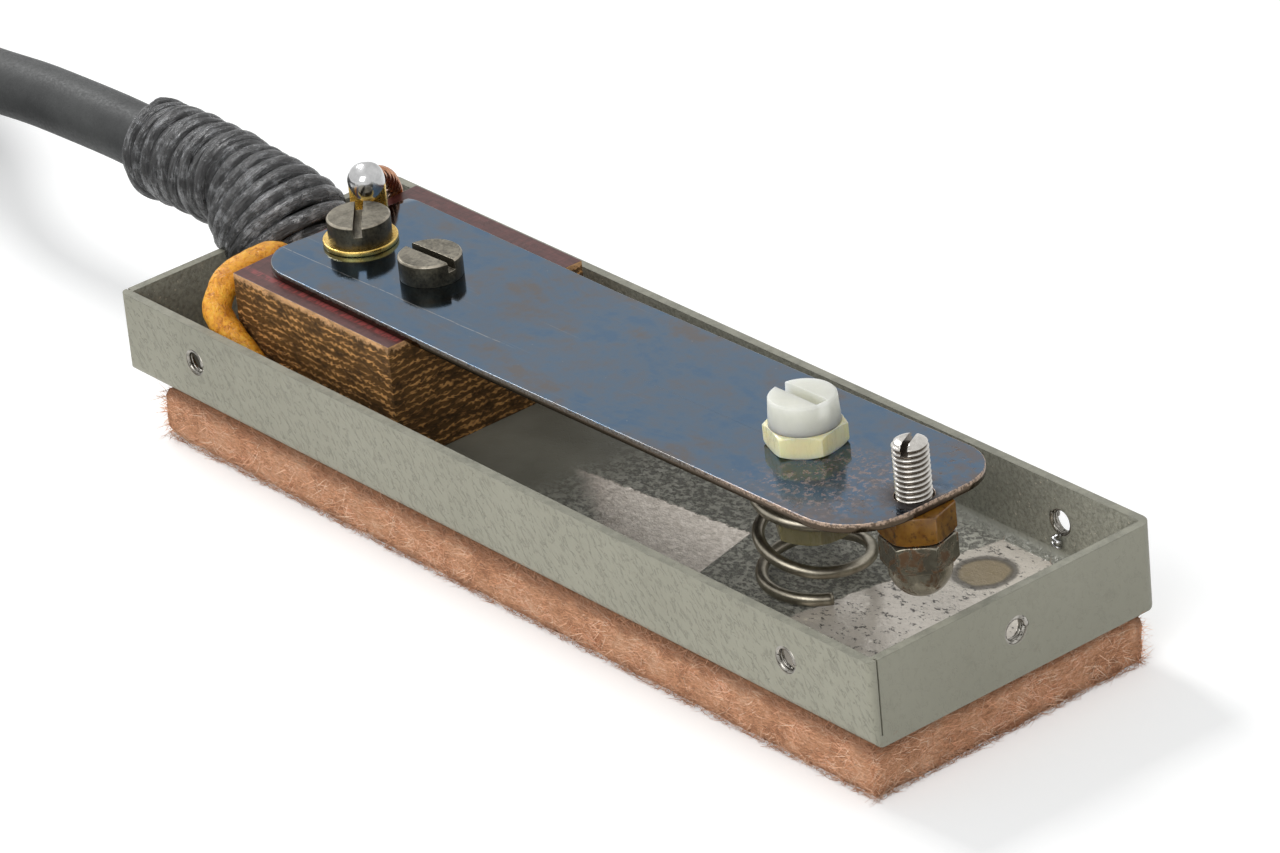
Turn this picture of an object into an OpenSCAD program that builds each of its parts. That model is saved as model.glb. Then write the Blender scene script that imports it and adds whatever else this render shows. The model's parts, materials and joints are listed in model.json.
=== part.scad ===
// Telegraph key: a spring-steel lever clamped on an insulating block, in a sheet-metal tray with a felt pad.
// Origin: under the middle of the tray, on the underside of the felt. +X points to the contact end, +Z is up.

/* [Felt pad] */
// Thickness of the felt
felt_t = 4.8; // [4:0.2:7]
// Distance from the front face of the tray to the felt
felt_front_gap = 0.4; // [0:0.1:2]
// Distance from the rear end of the tray to the felt
felt_rear_gap = 5; // [0:0.5:10]
// Distance from the far side of the tray to the felt
felt_far_gap = 1.8; // [0:0.1:4]

/* [Tray] */
// Overall length of the tray
tray_l = 96.8; // [94:0.2:110]
// Overall width of the tray
tray_w = 30; // [29:0.5:36]
// Overall height of the tray
tray_h = 7.7; // [7:0.1:9]
// Thickness of the sheet metal
sheet_t = 0.8; // [0.5:0.1:1.2]
// Outer radius of the upright near corners, which have the seams
tray_corner_r = 0.6; // [0.3:0.1:1]
// Outer radius of the upright far corners, which are closed
tray_far_corner_r = 1.2; // [0.3:0.1:1.2]
// Inner radius of the bends along the long walls
bend_inner_r = 0.8; // [0.4:0.1:1.4]
// Outer radius of the bends along the long walls
bend_outer_r = 1; // [0.4:0.1:1.4]
// Width of the seams between the end walls and the long walls
seam_w = 0.15; // [0.1:0.05:0.3]
// Depth of the seams
seam_depth = 0.4; // [0.2:0.1:0.5]
// Diameter of the tapped holes in the walls
wall_hole_d = 2.3; // [1.5:0.1:3]
// Distance of the side wall holes from the ends of the tray
wall_hole_end_gap = 10.1; // [8:0.1:14]
// Height of the wall holes above the underside of the tray
wall_hole_z = 4.2; // [3.5:0.1:5]
// Diameter of the round cable notch in the rear wall
notch_d = 10; // [9.8:0.1:12]
// Height of the middle of the cable notch above the rim
notch_rise = 0.3; // [0:0.1:1]

/* [Insulating block] */
// Length of the block
block_l = 21.3; // [19:0.1:24]
// Height of the block
block_h = 11.1; // [10:0.1:14]
// Distance from the rear end of the tray to the near rear corner of the block
block_rear_gap = 11.9; // [11:0.1:14]
// Distance that the far rear corner of the block lies behind the near one
block_skew = 1.2; // [0:0.1:1.5]
// Distance from the near wall of the tray to the block, which the insulated wire passes through
block_near_gap = 3.05; // [2.9:0.05:4]
// Distance from the far wall of the tray to the block
block_far_gap = 4.45; // [3:0.05:5]

/* [Lever] */
// Width of the lever
lever_w = 16.5; // [12:0.5:20]
// Thickness of the lever
lever_t = 0.8; // [0.5:0.1:1]
// Distance from the front end of the tray to the lever
lever_front_gap = 7.4; // [5:0.1:10]
// Distance from the near rear corner of the block to the rear end of the lever
lever_rear_inset = 0.3; // [0.2:0.1:2.5]
// Distance that the far side of the rear end lies in front of the near side
lever_skew = 1.3; // [0:0.1:2]
// Sideways place of the lever's middle
lever_y = -1.25; // [-2:0.05:2]
// Distance from the front face of the block to the line the lever bends at
bend_reach = 8.2; // [6:0.2:12]
// Width of the slit between the clamped end and the arm
bend_slit = 0.3; // [0.2:0.05:0.5]
// Upward slope of the arm at rest, in degrees
arm_rise = 1; // [0:0.1:1.5]
// Radius of the near front corner
tip_near_r = 6; // [3:0.5:8]
// Radius of the far front corner
tip_far_r = 4.6; // [3:0.1:8]
// Radius of the near rear corner
heel_near_r = 4.5; // [1:0.5:6]
// Radius of the far rear corner
heel_far_r = 2.5; // [0.5:0.1:6]

/* [Lever screws] */
// Thread diameter of all screws
thread_d = 3; // [2:0.1:3.5]
// Diameter of the steel screw heads
head_d = 5.5; // [5:0.1:7]
// Height of the steel screw heads
head_h = 2; // [1.5:0.1:3]
// Width of the slots in the steel heads
slot_w = 0.75; // [0.5:0.05:1.2]
// Depth of the slots in the steel heads
slot_depth = 0.9; // [0.4:0.1:1.2]
// Sideways place of the lever screws
lever_screw_y = -1.1; // [-1.5:0.05:0.5]
// Depth of the lever screws in the block
lever_screw_grip = 6; // [4:0.5:8]
// Distance from the rear face of the block to the rear lever screw
rear_screw_inset = 5; // [4.5:0.1:7]
// Distance between the two lever screws
lever_screw_span = 9.7; // [8.6:0.1:12]
// Depth of the fixing screws in the block
fixing_screw_grip = 6; // [4:0.5:8]
// Height of the fixing screw heads under the tray
fixing_head_h = 1.6; // [1:0.1:2]
// Distance of the fixing screws from the middle of the block
fixing_screw_offset = 6.3; // [5:0.1:7]

/* [Solder tag] */
// Thickness of the brass tag
tag_t = 0.5; // [0.3:0.05:0.8]
// Outer diameter of the ring of the tag
tag_ring_d = 6.5; // [6:0.1:8]
// Width of the upright tab of the tag
tab_w = 3.2; // [2:0.1:4]
// Distance from the screw to the upright tab
tab_reach = 4.7; // [4.2:0.1:5.2]
// Height of the upright tab above the lever
tab_h = 3.1; // [3:0.1:5]
// Diameter of the solder on the tab
tag_solder_d = 3.3; // [2.5:0.1:4]

/* [Knob] */
// Distance from the knob to the contact stud
knob_span = 13.2; // [12:0.1:20]
// Sideways place of the knob
knob_y = -0.95; // [-1.5:0.05:0.5]
// Diameter of the head at its base
knob_head_d = 5.9; // [5:0.1:7]
// Diameter of the head at its top
knob_top_d = 5.6; // [4.5:0.1:7]
// Height of the head
knob_head_h = 2.45; // [2:0.05:4]
// Width of the slot in the head
knob_slot_w = 1.1; // [0.8:0.1:1.5]
// Depth of the slot in the head
knob_slot_depth = 1.3; // [0.6:0.1:1.6]
// Distance from the end of the slot to the front edge of the head
knob_slot_end_gap = 0.4; // [0.2:0.1:1]
// Width across the flats of the nylon nut and spacer
nylon_flats = 6; // [5.5:0.1:6.5]
// Height of the nut above the lever
knob_nut_h = 1.9; // [1.5:0.1:3]
// Length of the spacer below the lever
spacer_h = 6.9; // [4:0.1:7]
// Length of the screw end that stands out below the spacer
knob_screw_end = 0.4; // [0.2:0.1:1]

/* [Contact] */
// Distance from the tip of the lever to the contact stud
contact_tip_gap = 1.9; // [1.8:0.1:5]
// Sideways place of the contact stud
contact_y = -1.4; // [-1.5:0.05:0.5]
// Height of the stud above the lever
stud_rise = 4.9; // [3:0.1:7]
// Rise of the domed end of the stud
stud_crown = 0.5; // [0.2:0.05:0.8]
// Width of the slot in the stud
stud_slot_w = 0.6; // [0.4:0.05:0.8]
// Depth of the slot in the stud
stud_slot_depth = 0.9; // [0.5:0.1:1.5]
// Width across the flats of the contact nuts
contact_flats = 5.5; // [5:0.1:7]
// Height of the hexagon nut under the lever
lock_nut_h = 2.4; // [1.5:0.1:3]
// Height of the hexagon of the domed nut
dome_hex_h = 2.4; // [1.5:0.1:3]
// Diameter of the dome
dome_d = 5.2; // [4:0.1:5.4]
// Depth of the flat worn on the dome
dome_wear = 0.05; // [0.02:0.01:0.2]
// Length of the round part between the hexagon and the dome
dome_collar_h = 0.35; // [0.2:0.05:0.8]

/* [Return spring] */
// Diameter of the spring at the middle of its wire
spring_d = 9; // [8.4:0.1:10]
// Diameter of the spring wire
spring_wire_d = 1.05; // [0.5:0.05:1.2]
// Number of turns
spring_turns = 3.25; // [2.25:0.25:3.5]

/* [Wires] */
// Diameter of the insulated wire to the tray
earth_wire_d = 2.6; // [1.5:0.1:2.7]
// Diameter of the wire to the solder tag
tag_wire_d = 1.5; // [1:0.1:2]

/* [Cable] */
// Diameter of the cable
cable_d = 5.8; // [4.5:0.1:6]
// Diameter of the whipping cord
whip_cord_d = 0.6; // [0.4:0.05:0.65]
// Number of turns on the straight part of the cable
whip_straight_turns = 12; // [8:1:12]
// Number of loose turns on the bend of the cable
whip_fan_turns = 4.25; // [2:0.25:4.25]
// Growth of the radius of the loose turns
whip_flare = 0.9; // [0:0.1:1.2]
// Number of turns in each layer of the coil
coil_layer_turns = 2; // [1:1:2]
// Radius of the coil at the middle of its turns
coil_mid_r = 29.5; // [29:0.5:34]
// Width of the band that ties the coil
tie_w = 5; // [3:0.5:8]
// Thickness of the band that ties the coil
tie_t = 0.5; // [0.3:0.1:0.5]

/* [Plug] */
// Diameter of the grip
plug_grip_d = 12; // [10:0.5:14]
// Length of the grip
plug_grip_l = 38; // [30:1:45]
// Diameter of the shaft
plug_shaft_d = 6.35; // [5:0.05:7]
// Length of the sleeve of the shaft
plug_sleeve_l = 23; // [18:0.5:26]
// Length of the insulating ring
plug_ring_l = 1.4; // [1:0.1:2]
// Length of the tip
plug_tip_l = 6.5; // [5:0.1:8]

/* [Hidden] */
$fn = 64;

// Clearances
cut_extra = 0.5;
thread_clear = 0.05;
lever_hole_clear = 0.2;
solder_clear = 0.05;
pocket_clear = 0.5;
seat_gap = 0.1;
nut_gap = 0.15;

// Heights
floor_z = felt_t + sheet_t;
rim_z = felt_t + tray_h;
wall_hole_height = felt_t + wall_hole_z;
block_top = floor_z + block_h;
lever_top = block_top + lever_t;
bend_z = block_top + lever_t / 2;

// Places along and across the tray
rear_x = -tray_l / 2;
front_x = tray_l / 2;
near_y = -tray_w / 2;
far_y = tray_w / 2;
block_rear = rear_x + block_rear_gap;
block_front = block_rear + block_l;
block_near = near_y + sheet_t + block_near_gap;
block_far = far_y - sheet_t - block_far_gap;
block_y = (block_near + block_far) / 2;
block_w = block_far - block_near;
lever_rear = block_rear + lever_rear_inset;
lever_front = front_x - lever_front_gap;
bend_x = block_front + bend_reach;
rear_screw_x = block_rear + rear_screw_inset;
front_screw_x = rear_screw_x + lever_screw_span;
fixing_x = (block_rear + block_front) / 2;
contact_x = lever_front - contact_tip_gap;
knob_x = contact_x - knob_span;
wall_hole_x = tray_l / 2 - wall_hole_end_gap;

// Shared details
head_chamfer = 0.15;
nylon_chamfer = 0.45;
nut_chamfer = 0.35;
rear_slot_angle = -40;
front_slot_angle = 3;
knob_slot_angle = 0;
stud_slot_angle = -62;
knob_nut_angle = -18.5;
spacer_angle = 27;
lock_nut_angle = -12;
dome_angle = -14.5;
tag_angle = 132;
tag_neck_w = 2.4;
seam_low = 1;
tag_solder_rise = 0.3;

// Rise of the spring wire, from 0 to 1, against the share of its turns: its two ends are wound closer
spring_rise = [[0, 0], [0.08, 0.03], [0.32, 0.24], [0.39, 0.38], [0.85, 0.92], [0.92, 0.98], [1, 1]];

// Solder tag and its solder
tag_pos = [rear_screw_x, lever_screw_y, lever_top];
tag_dir = [cos(tag_angle), sin(tag_angle), 0];
tag_solder_pos = tag_pos + tab_reach * tag_dir + [0, 0, tab_h + tag_solder_rise];

// Cable: its axis runs level over the rear wall to the bend, then dips into the tray
cable_y = 1;
cable_z = rim_z + 3.3;
whip_start_x = rear_x - 16.1;
bend_start_x = rear_x - 3.1;
cable_bend_r = 11;
whip_bend_angle = 40;
whip_clear = 0.2;
cable_sides = 10;

// Points of the cable, behind the rear end of the tray and above its level part
cable_level_points = [
    [4.4, 0, -3], [4, 0, -2.6], [2.4, 0, -1.5], [0.7, 0, -0.7], [-1.2, 0, -0.2], [-3.1, 0, 0],
    [-6.6, 0, 0], [-11.6, 0, 0], [-16.6, 0, 0], [-21.6, 0, 0], [-27.6, 0, -0.2], [-33.6, 0, -0.5],
    [-39.6, 0, -1.1]
];
cable_end = [rear_x, cable_y, cable_z] + cable_level_points[0];

// Coil: two layers of turns, the lead comes in on the upper one and the tail leaves from the lower one
loop_rings = 24;
loop_sides = 6;
coil_step = cable_d + 0.6;
coil_climb_dip = 0.8;
coil_climb_angle = 180;
coil_start_angle = 90;
coil_half_step = 180 / loop_rings;
coil_total = 2 * 360 * coil_layer_turns + coil_climb_angle;
coil_outer_r = coil_mid_r + coil_step * coil_layer_turns / 2;
coil_low_z = 3.7;
coil_high_z = coil_low_z + coil_step;

// Lead: behind the tray it turns aside and comes down onto the coil
lead_turn_x = rear_x - 40;
lead_turn_r = 31;
lead_swing = 11;
lead_points = 8;
lead_high_z = cable_z - 1.1;
lead_meet_r = coil_outer_r + coil_step / 11;
lead_turn_angle = acos((coil_outer_r - lead_swing + lead_turn_r) / (lead_meet_r + lead_turn_r));
lead_part = 1 - coil_half_step / (2 * lead_turn_angle);
coil_centre = [
    lead_turn_x - (lead_meet_r + lead_turn_r) * sin(lead_turn_angle),
    cable_y + lead_swing - coil_outer_r,
    coil_low_z
];

// Stretch from the coil to the plug
tail_l = 24;
tail_swing = 2.6;
tail_steps = 8;
tie_clear = 0.4;
tie_corner_r = 2.5;

// Plug
plug_neck_d = 8;
plug_neck_l = 7;
plug_collar_l = 2;
plug_shoulder = 0.8;
plug_tip_neck_d = 4.6;

// Length of a vector made one
function unit(v) = v / norm(v);

// Smooth step from 0 to 1
function ease(t) = t * t * (3 - 2 * t);

// Direction of a path at point i
function heading(path, i) = unit(path[min(i + 1, len(path) - 1)] - path[max(i - 1, 0)]);

// Corners of the section of a tube at centre c, square to direction t
function section(c, t, side, r, sides) =
    let (u = unit(cross(t, side)), v = cross(t, u))
    [for (k = [0:sides - 1]) c + r * (cos(360 * k / sides) * u + sin(360 * k / sides) * v)];

// Least distance between points of a path that lie at least half a loop apart along it
function least_distance(path, skip) =
    let (last = len(path) - 1)
    min([for (i = [0:last - skip]) min([for (j = [i + skip:last]) norm(path[i] - path[j])])]);

// Length of a path
function path_length(path) =
    let (last = len(path) - 1)
    [for (i = [1:last]) norm(path[i] - path[i - 1])] * [for (i = [1:last]) 1];

// A closed tube along a path, with a vector beside the path for each point
module tube(path, beside, d, sides) {
    n = len(path);
    points = [for (i = [0:n - 1]) each section(path[i], heading(path, i), beside[i], d / 2, sides)];
    walls = [
        for (i = [0:n - 2], k = [0:sides - 1])
        let (a = i * sides + k, b = i * sides + (k + 1) % sides)
        each [[a, a + sides, b + sides], [a, b + sides, b]]
    ];
    start_cap = [for (k = [1:sides - 2]) [0, k, k + 1]];
    last = (n - 1) * sides;
    end_cap = [for (k = [1:sides - 2]) [last, last + k + 1, last + k]];
    polyhedron(points, concat(walls, start_cap, end_cap), convexity = 10);
}

// A tube along hand-chosen points that never run straight along the vector beside
module plain_tube(path, beside, d, sides) {
    tube(path, [for (p = path) beside], d, sides);
}

// The sliver that rounds the corner at p, where the plan lies towards d
module corner_cut(p, d, r) {
    difference() {
        translate(p + d * (r - cut_extra) / 2) square(r + cut_extra, center = true);
        translate(p + d * r) circle(r);
    }
}

// A rectangle from low to high, with radii for its rear near, rear far, front near and front far corners
module rounded_plan(low, high, radii) {
    difference() {
        translate(low) square(high - low);
        corner_cut(low, [1, 1], radii[0]);
        corner_cut([low.x, high.y], [1, -1], radii[1]);
        corner_cut([high.x, low.y], [-1, 1], radii[2]);
        corner_cut(high, [-1, -1], radii[3]);
    }
}

// A slotted screw with the underside of its head at the origin and its shank downwards
module slotted_screw(base_d, top_d, h, shank_l, cut_w, cut_depth, cut_end, angle) {
    difference() {
        rotate_extrude() polygon([
            [0, -shank_l], [thread_d / 2, -shank_l], [thread_d / 2, 0], [base_d / 2, 0],
            [top_d / 2, h - head_chamfer], [top_d / 2 - head_chamfer, h], [0, h]
        ]);
        rotate([0, 0, angle]) translate([-base_d, -cut_w / 2, h - cut_depth])
            cube([base_d + cut_end, cut_w, cut_depth + cut_extra]);
    }
}

// A hexagon with chamfered corners at its top or its underside, standing on the origin
module hexagon(flats, h, top_chamfer, low_chamfer) {
    corner_r = flats / sqrt(3);
    wide = corner_r + cut_extra;
    low_edge = low_chamfer == 0
        ? [[wide, 0]]
        : [[corner_r - low_chamfer, 0], [wide, (low_chamfer + cut_extra) / 2]];
    top_edge = top_chamfer == 0
        ? [[wide, h]]
        : [[wide, h - (top_chamfer + cut_extra) / 2], [corner_r - top_chamfer, h]];
    intersection() {
        cylinder(r = corner_r, h = h, $fn = 6);
        rotate_extrude() polygon(concat([[0, 0]], low_edge, top_edge, [[0, h]]));
    }
}

// Places its children, drawn level with the clamped end, on the raised arm
module on_arm() {
    translate([bend_x, 0, bend_z]) rotate([0, -arm_rise, 0])
        translate([-bend_x, 0, -bend_z]) children();
}

// The whole outline of the lever, with its rear end out of square
module lever_outline() {
    low = [lever_rear, lever_y - lever_w / 2];
    high = [lever_front, lever_y + lever_w / 2];
    difference() {
        rounded_plan(low, high, [heel_near_r, heel_far_r, tip_near_r, tip_far_r]);
        polygon([
            low, [low.x + lever_skew, high.y], [low.x + lever_skew, high.y + cut_extra],
            [low.x - cut_extra, high.y + cut_extra], [low.x - cut_extra, low.y]
        ]);
    }
}

// The leaf between two places along the lever, with its bores
module leaf(x0, x1, bores) {
    difference() {
        translate([0, 0, block_top]) linear_extrude(lever_t) intersection() {
            lever_outline();
            translate([x0, near_y]) square([x1 - x0, tray_w]);
        }
        for (bore = bores)
            translate([bore.x, bore.y, block_top - cut_extra])
                cylinder(d = thread_d + 2 * lever_hole_clear, h = lever_t + 2 * cut_extra);
    }
}

module felt_pad() {
    felt_l = tray_l - felt_front_gap - felt_rear_gap;
    felt_w = tray_w - felt_far_gap;
    color("rosybrown") difference() {
        translate([rear_x + felt_rear_gap, near_y, 0]) cube([felt_l, felt_w, felt_t]);
        for (s = [-1, 1])
            translate([fixing_x, block_y + s * fixing_screw_offset, felt_t - fixing_head_h - pocket_clear])
                cylinder(d = head_d + 2 * pocket_clear, h = fixing_head_h + pocket_clear + cut_extra);
    }
}

// The space inside the tray, with the bends along its long walls
module tray_space() {
    low = [near_y + sheet_t, floor_z];
    high = [far_y - sheet_t, rim_z + cut_extra];
    translate([rear_x + sheet_t, 0, 0]) rotate([90, 0, 90]) linear_extrude(tray_l - 2 * sheet_t)
        difference() {
            translate(low) square(high - low);
            corner_cut(low, [1, 1], bend_inner_r);
            corner_cut([high.x, low.y], [-1, 1], bend_inner_r);
        }
}

module base_tray() {
    color("darkseagreen") difference() {
        translate([0, 0, felt_t]) linear_extrude(tray_h) rounded_plan(
            [rear_x, near_y], [front_x, far_y],
            [tray_corner_r, tray_far_corner_r, tray_corner_r, tray_far_corner_r]
        );
        tray_space();
        for (s = [-1, 1])
            translate([rear_x - cut_extra, 0, 0]) rotate([90, 0, 90]) linear_extrude(tray_l + 2 * cut_extra)
                corner_cut([s * far_y, felt_t], [-s, 1], bend_outer_r);
        for (end = [-1, 1])
            translate([end * (front_x - seam_depth / 2 + cut_extra), near_y + sheet_t, rim_z])
                cube([seam_depth + 2 * cut_extra, seam_w, 2 * (tray_h - seam_low)], center = true);
        for (s = [-1, 1])
            translate([s * wall_hole_x, far_y + cut_extra, wall_hole_height]) rotate([90, 0, 0])
                cylinder(d = wall_hole_d, h = tray_w + 2 * cut_extra);
        translate([front_x - sheet_t - cut_extra, 0, wall_hole_height]) rotate([0, 90, 0])
            cylinder(d = wall_hole_d, h = sheet_t + 2 * cut_extra);
        translate([rear_x - cut_extra, cable_y, rim_z + notch_rise]) rotate([0, 90, 0])
            cylinder(d = notch_d, h = sheet_t + 2 * cut_extra);
        for (s = [-1, 1])
            translate([fixing_x, block_y + s * fixing_screw_offset, felt_t - cut_extra])
                cylinder(d = thread_d + 2 * lever_hole_clear, h = sheet_t + 2 * cut_extra);
    }
}

module lever_block() {
    color("saddlebrown") difference() {
        translate([0, 0, floor_z]) linear_extrude(block_h) polygon([
            [block_rear, block_near], [block_front, block_near], [block_front, block_far],
            [block_rear - block_skew, block_far]
        ]);
        for (x = [rear_screw_x, front_screw_x])
            translate([x, lever_screw_y, block_top - lever_screw_grip - cut_extra])
                cylinder(d = thread_d + 2 * thread_clear, h = lever_screw_grip + 2 * cut_extra);
        for (s = [-1, 1])
            translate([fixing_x, block_y + s * fixing_screw_offset, floor_z - cut_extra])
                cylinder(d = thread_d + 2 * thread_clear, h = fixing_screw_grip + 2 * cut_extra);
    }
}

module block_fixing_screws() {
    color("dimgray") for (s = [-1, 1])
        translate([fixing_x, block_y + s * fixing_screw_offset, felt_t]) rotate([180, 0, 0])
            slotted_screw(
                head_d, head_d, fixing_head_h, sheet_t + fixing_screw_grip, slot_w, slot_depth, head_d, 0
            );
}

module lever_clamped_end() {
    color("slategray") leaf(
        lever_rear, bend_x - bend_slit / 2, [[rear_screw_x, lever_screw_y], [front_screw_x, lever_screw_y]]
    );
}

module lever_arm() {
    color("slategray") on_arm() leaf(
        bend_x + bend_slit / 2, lever_front, [[knob_x, knob_y], [contact_x, contact_y]]
    );
}

module rear_lever_screw() {
    shank = tag_t + lever_t + lever_screw_grip;
    color("dimgray") translate([rear_screw_x, lever_screw_y, lever_top + tag_t])
        slotted_screw(head_d, head_d, head_h, shank, slot_w, slot_depth, head_d, rear_slot_angle);
}

module front_lever_screw() {
    shank = lever_t + lever_screw_grip;
    color("dimgray") translate([front_screw_x, lever_screw_y, lever_top])
        slotted_screw(head_d, head_d, head_h, shank, slot_w, slot_depth, head_d, front_slot_angle);
}

// The upright tab of the tag, grown all round by a clearance
module upright_tab(grow) {
    translate(tag_pos) rotate([0, 0, tag_angle])
        translate([tab_reach - tag_t / 2 - grow, -tab_w / 2 - grow, 0])
            cube([tag_t + 2 * grow, tab_w + 2 * grow, tab_h + grow]);
}

module solder_tag() {
    color("goldenrod") {
        difference() {
            union() {
                translate(tag_pos) cylinder(d = tag_ring_d, h = tag_t);
                translate(tag_pos) rotate([0, 0, tag_angle]) translate([0, -tag_neck_w / 2, 0])
                    cube([tab_reach, tag_neck_w, tag_t]);
                upright_tab(0);
            }
            translate(tag_pos - [0, 0, cut_extra])
                cylinder(d = thread_d + 2 * lever_hole_clear, h = tag_t + 2 * cut_extra);
        }
    }
}

// Route of the wire from the cable, up behind the far part of the block, to the solder tag
function tag_wire_route() =
    let (
        behind = block_rear - block_skew - tag_wire_d / 2 - 2 * seat_gap,
        beside = block_far - 1.1 * tag_wire_d
    ) [
        cable_end + [0.2, 1.2, -0.2], cable_end + [1.2, 1.4, -1], [behind - 2, beside - 3, rim_z - 1],
        [behind - 0.4, beside - 0.8, rim_z + 0.2], [behind, beside, block_top - 1.8],
        [behind + 0.1, beside - 0.1, block_top - 0.2], tag_solder_pos + [-2.6, 4.2, -2.2],
        tag_solder_pos + [-1.5, 2.6, -0.8], tag_solder_pos + [-0.7, 1.1, 0]
    ];

module tag_wire(grow = 0) {
    color("peru") plain_tube(tag_wire_route(), [0.6, 0.8, 0], tag_wire_d + 2 * grow, 8);
}

module tag_solder() {
    color("silver") difference() {
        translate(tag_solder_pos) sphere(d = tag_solder_d);
        upright_tab(solder_clear);
        tag_wire(solder_clear);
    }
}

// Route of the insulated wire from the cable, round the near rear corner of the block, to the tray floor
function earth_wire_route() =
    let (
        d = earth_wire_d,
        behind = block_rear - block_skew / 2 - earth_wire_d / 2 - seat_gap,
        beside = (block_near + near_y + sheet_t) / 2
    ) [
        cable_end + [0.2, -0.55 * d, -0.2], cable_end + [0.45 * d, -0.6 * d, -0.4 * d],
        cable_end + [1.4 * d, -0.9 * d, -0.35 * d], [behind, cable_y - 1.5 * d, rim_z + 0.3 * d],
        [behind, cable_y - 2.4 * d, block_top - 0.5 * d],
        [behind, block_near + 1.2 * d, block_top - 0.42 * d],
        [behind, block_near + 0.3 * d, block_top - 0.6 * d],
        [behind + 0.25 * d, block_near - 0.42 * d, block_top - 1.2 * d],
        [behind + 0.65 * d, beside, block_top - 1.6 * d], [behind + 1.2 * d, beside, block_top - 2 * d],
        [behind + 2.2 * d, beside, block_top - 2.75 * d], [behind + 3.2 * d, beside, block_top - 3.4 * d],
        [behind + 3.9 * d, beside, floor_z + 0.6 * d]
    ];

module earth_wire(grow = 0) {
    color("orange") plain_tube(earth_wire_route(), [0.3, 0.3, 0.9], earth_wire_d + 2 * grow, 8);
}

module earth_solder() {
    route = earth_wire_route();
    end = route[len(route) - 1];
    color("silver") difference() {
        intersection() {
            translate([end.x + earth_wire_d / 4, end.y, floor_z]) sphere(d = earth_wire_d);
            tray_space();
        }
        earth_wire(solder_clear);
    }
}

module knob_screw() {
    shank = knob_nut_h + lever_t + spacer_h + knob_screw_end;
    slot_end = knob_top_d / 2 - knob_slot_end_gap;
    color("white") on_arm() translate([knob_x, knob_y, lever_top + knob_nut_h]) slotted_screw(
        knob_head_d, knob_top_d, knob_head_h, shank, knob_slot_w, knob_slot_depth, slot_end, knob_slot_angle
    );
}

module knob_nut() {
    color("lemonchiffon") on_arm() translate([knob_x, knob_y, lever_top]) difference() {
        rotate([0, 0, knob_nut_angle]) hexagon(nylon_flats, knob_nut_h, nylon_chamfer, nylon_chamfer);
        translate([0, 0, -cut_extra])
            cylinder(d = thread_d + 2 * thread_clear, h = knob_nut_h + 2 * cut_extra);
    }
}

module knob_spacer() {
    color("palegoldenrod") on_arm() translate([knob_x, knob_y, block_top - spacer_h]) difference() {
        rotate([0, 0, spacer_angle]) hexagon(nylon_flats, spacer_h, 0, nylon_chamfer);
        translate([0, 0, -cut_extra]) cylinder(d = thread_d + 2 * thread_clear, h = spacer_h + 2 * cut_extra);
    }
}

// Path of the spring wire, left-handed from its low end, with a straight run at each end
function spring_path() =
    let (
        r = spring_d / 2,
        low = floor_z + seat_gap + spring_wire_d / 2,
        slope_drop = (knob_x - r - spring_wire_d - bend_x) * tan(arm_rise),
        high = block_top + slope_drop - seat_gap - spring_wire_d / 2,
        steps = spring_turns * loop_rings,
        start_angle = -26,
        turn = [for (i = [0:steps]) let (a = start_angle - 360 * i / loop_rings)
            [knob_x + r * cos(a), knob_y + r * sin(a), low + (high - low) * lookup(i / steps, spring_rise)]],
        first = [-sin(start_angle), cos(start_angle), 0],
        end_angle = start_angle - 360 * spring_turns,
        last = [sin(end_angle), -cos(end_angle), 0]
    ) concat([turn[0] + spring_wire_d * first], turn, [turn[steps] + spring_wire_d * last]);

module return_spring() {
    path = spring_path();
    echo(str("least gap in return_spring, mm: ", least_distance(path, loop_rings / 2) - spring_wire_d));
    color("darkkhaki") plain_tube(path, [0, 0, 1], spring_wire_d, loop_sides);
}

module contact_screw() {
    r = thread_d / 2;
    crown_r = (r * r + stud_crown * stud_crown) / (2 * stud_crown);
    below = lever_t + lock_nut_h + nut_gap + dome_hex_h;
    color("silver") on_arm() translate([contact_x, contact_y, lever_top]) difference() {
        rotate_extrude() union() {
            translate([0, -below]) square([r, below + stud_rise - stud_crown]);
            intersection() {
                translate([0, stud_rise - crown_r]) circle(crown_r);
                translate([0, stud_rise - 2 * stud_crown]) square([r, 2 * stud_crown]);
            }
        }
        rotate([0, 0, stud_slot_angle])
            translate([-thread_d, -stud_slot_w / 2, stud_rise - stud_slot_depth])
                cube([2 * thread_d, stud_slot_w, stud_slot_depth + cut_extra]);
    }
}

module contact_lock_nut() {
    color("darkgoldenrod") on_arm() translate([contact_x, contact_y, block_top - lock_nut_h]) difference() {
        rotate([0, 0, lock_nut_angle]) hexagon(contact_flats, lock_nut_h, 0, nut_chamfer);
        translate([0, 0, -cut_extra])
            cylinder(d = thread_d + 2 * thread_clear, h = lock_nut_h + 2 * cut_extra);
    }
}

module contact_dome() {
    dome_r = dome_d / 2;
    dome_l = dome_hex_h + dome_collar_h + dome_r;
    top = block_top - lock_nut_h - nut_gap;
    color("darkkhaki") on_arm() translate([contact_x, contact_y, top]) difference() {
        union() {
            translate([0, 0, -dome_hex_h]) rotate([0, 0, dome_angle])
                hexagon(contact_flats, dome_hex_h, nut_chamfer, nut_chamfer);
            translate([0, 0, dome_r - dome_l]) rotate_extrude() union() {
                square([dome_r, dome_collar_h + dome_hex_h / 2]);
                intersection() {
                    circle(dome_r);
                    translate([0, dome_wear - dome_r]) square(dome_r);
                }
            }
        }
        translate([0, 0, -dome_hex_h]) cylinder(d = thread_d + 2 * thread_clear, h = dome_hex_h + cut_extra);
    }
}

// Share of the lead's height that is left after a share t of its way down
function lead_height(t) = 2 * pow(t, 3) - 3 * pow(t, 2) + 1 - 0.84 * (pow(t, 3) - 2 * pow(t, 2) + t);

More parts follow.
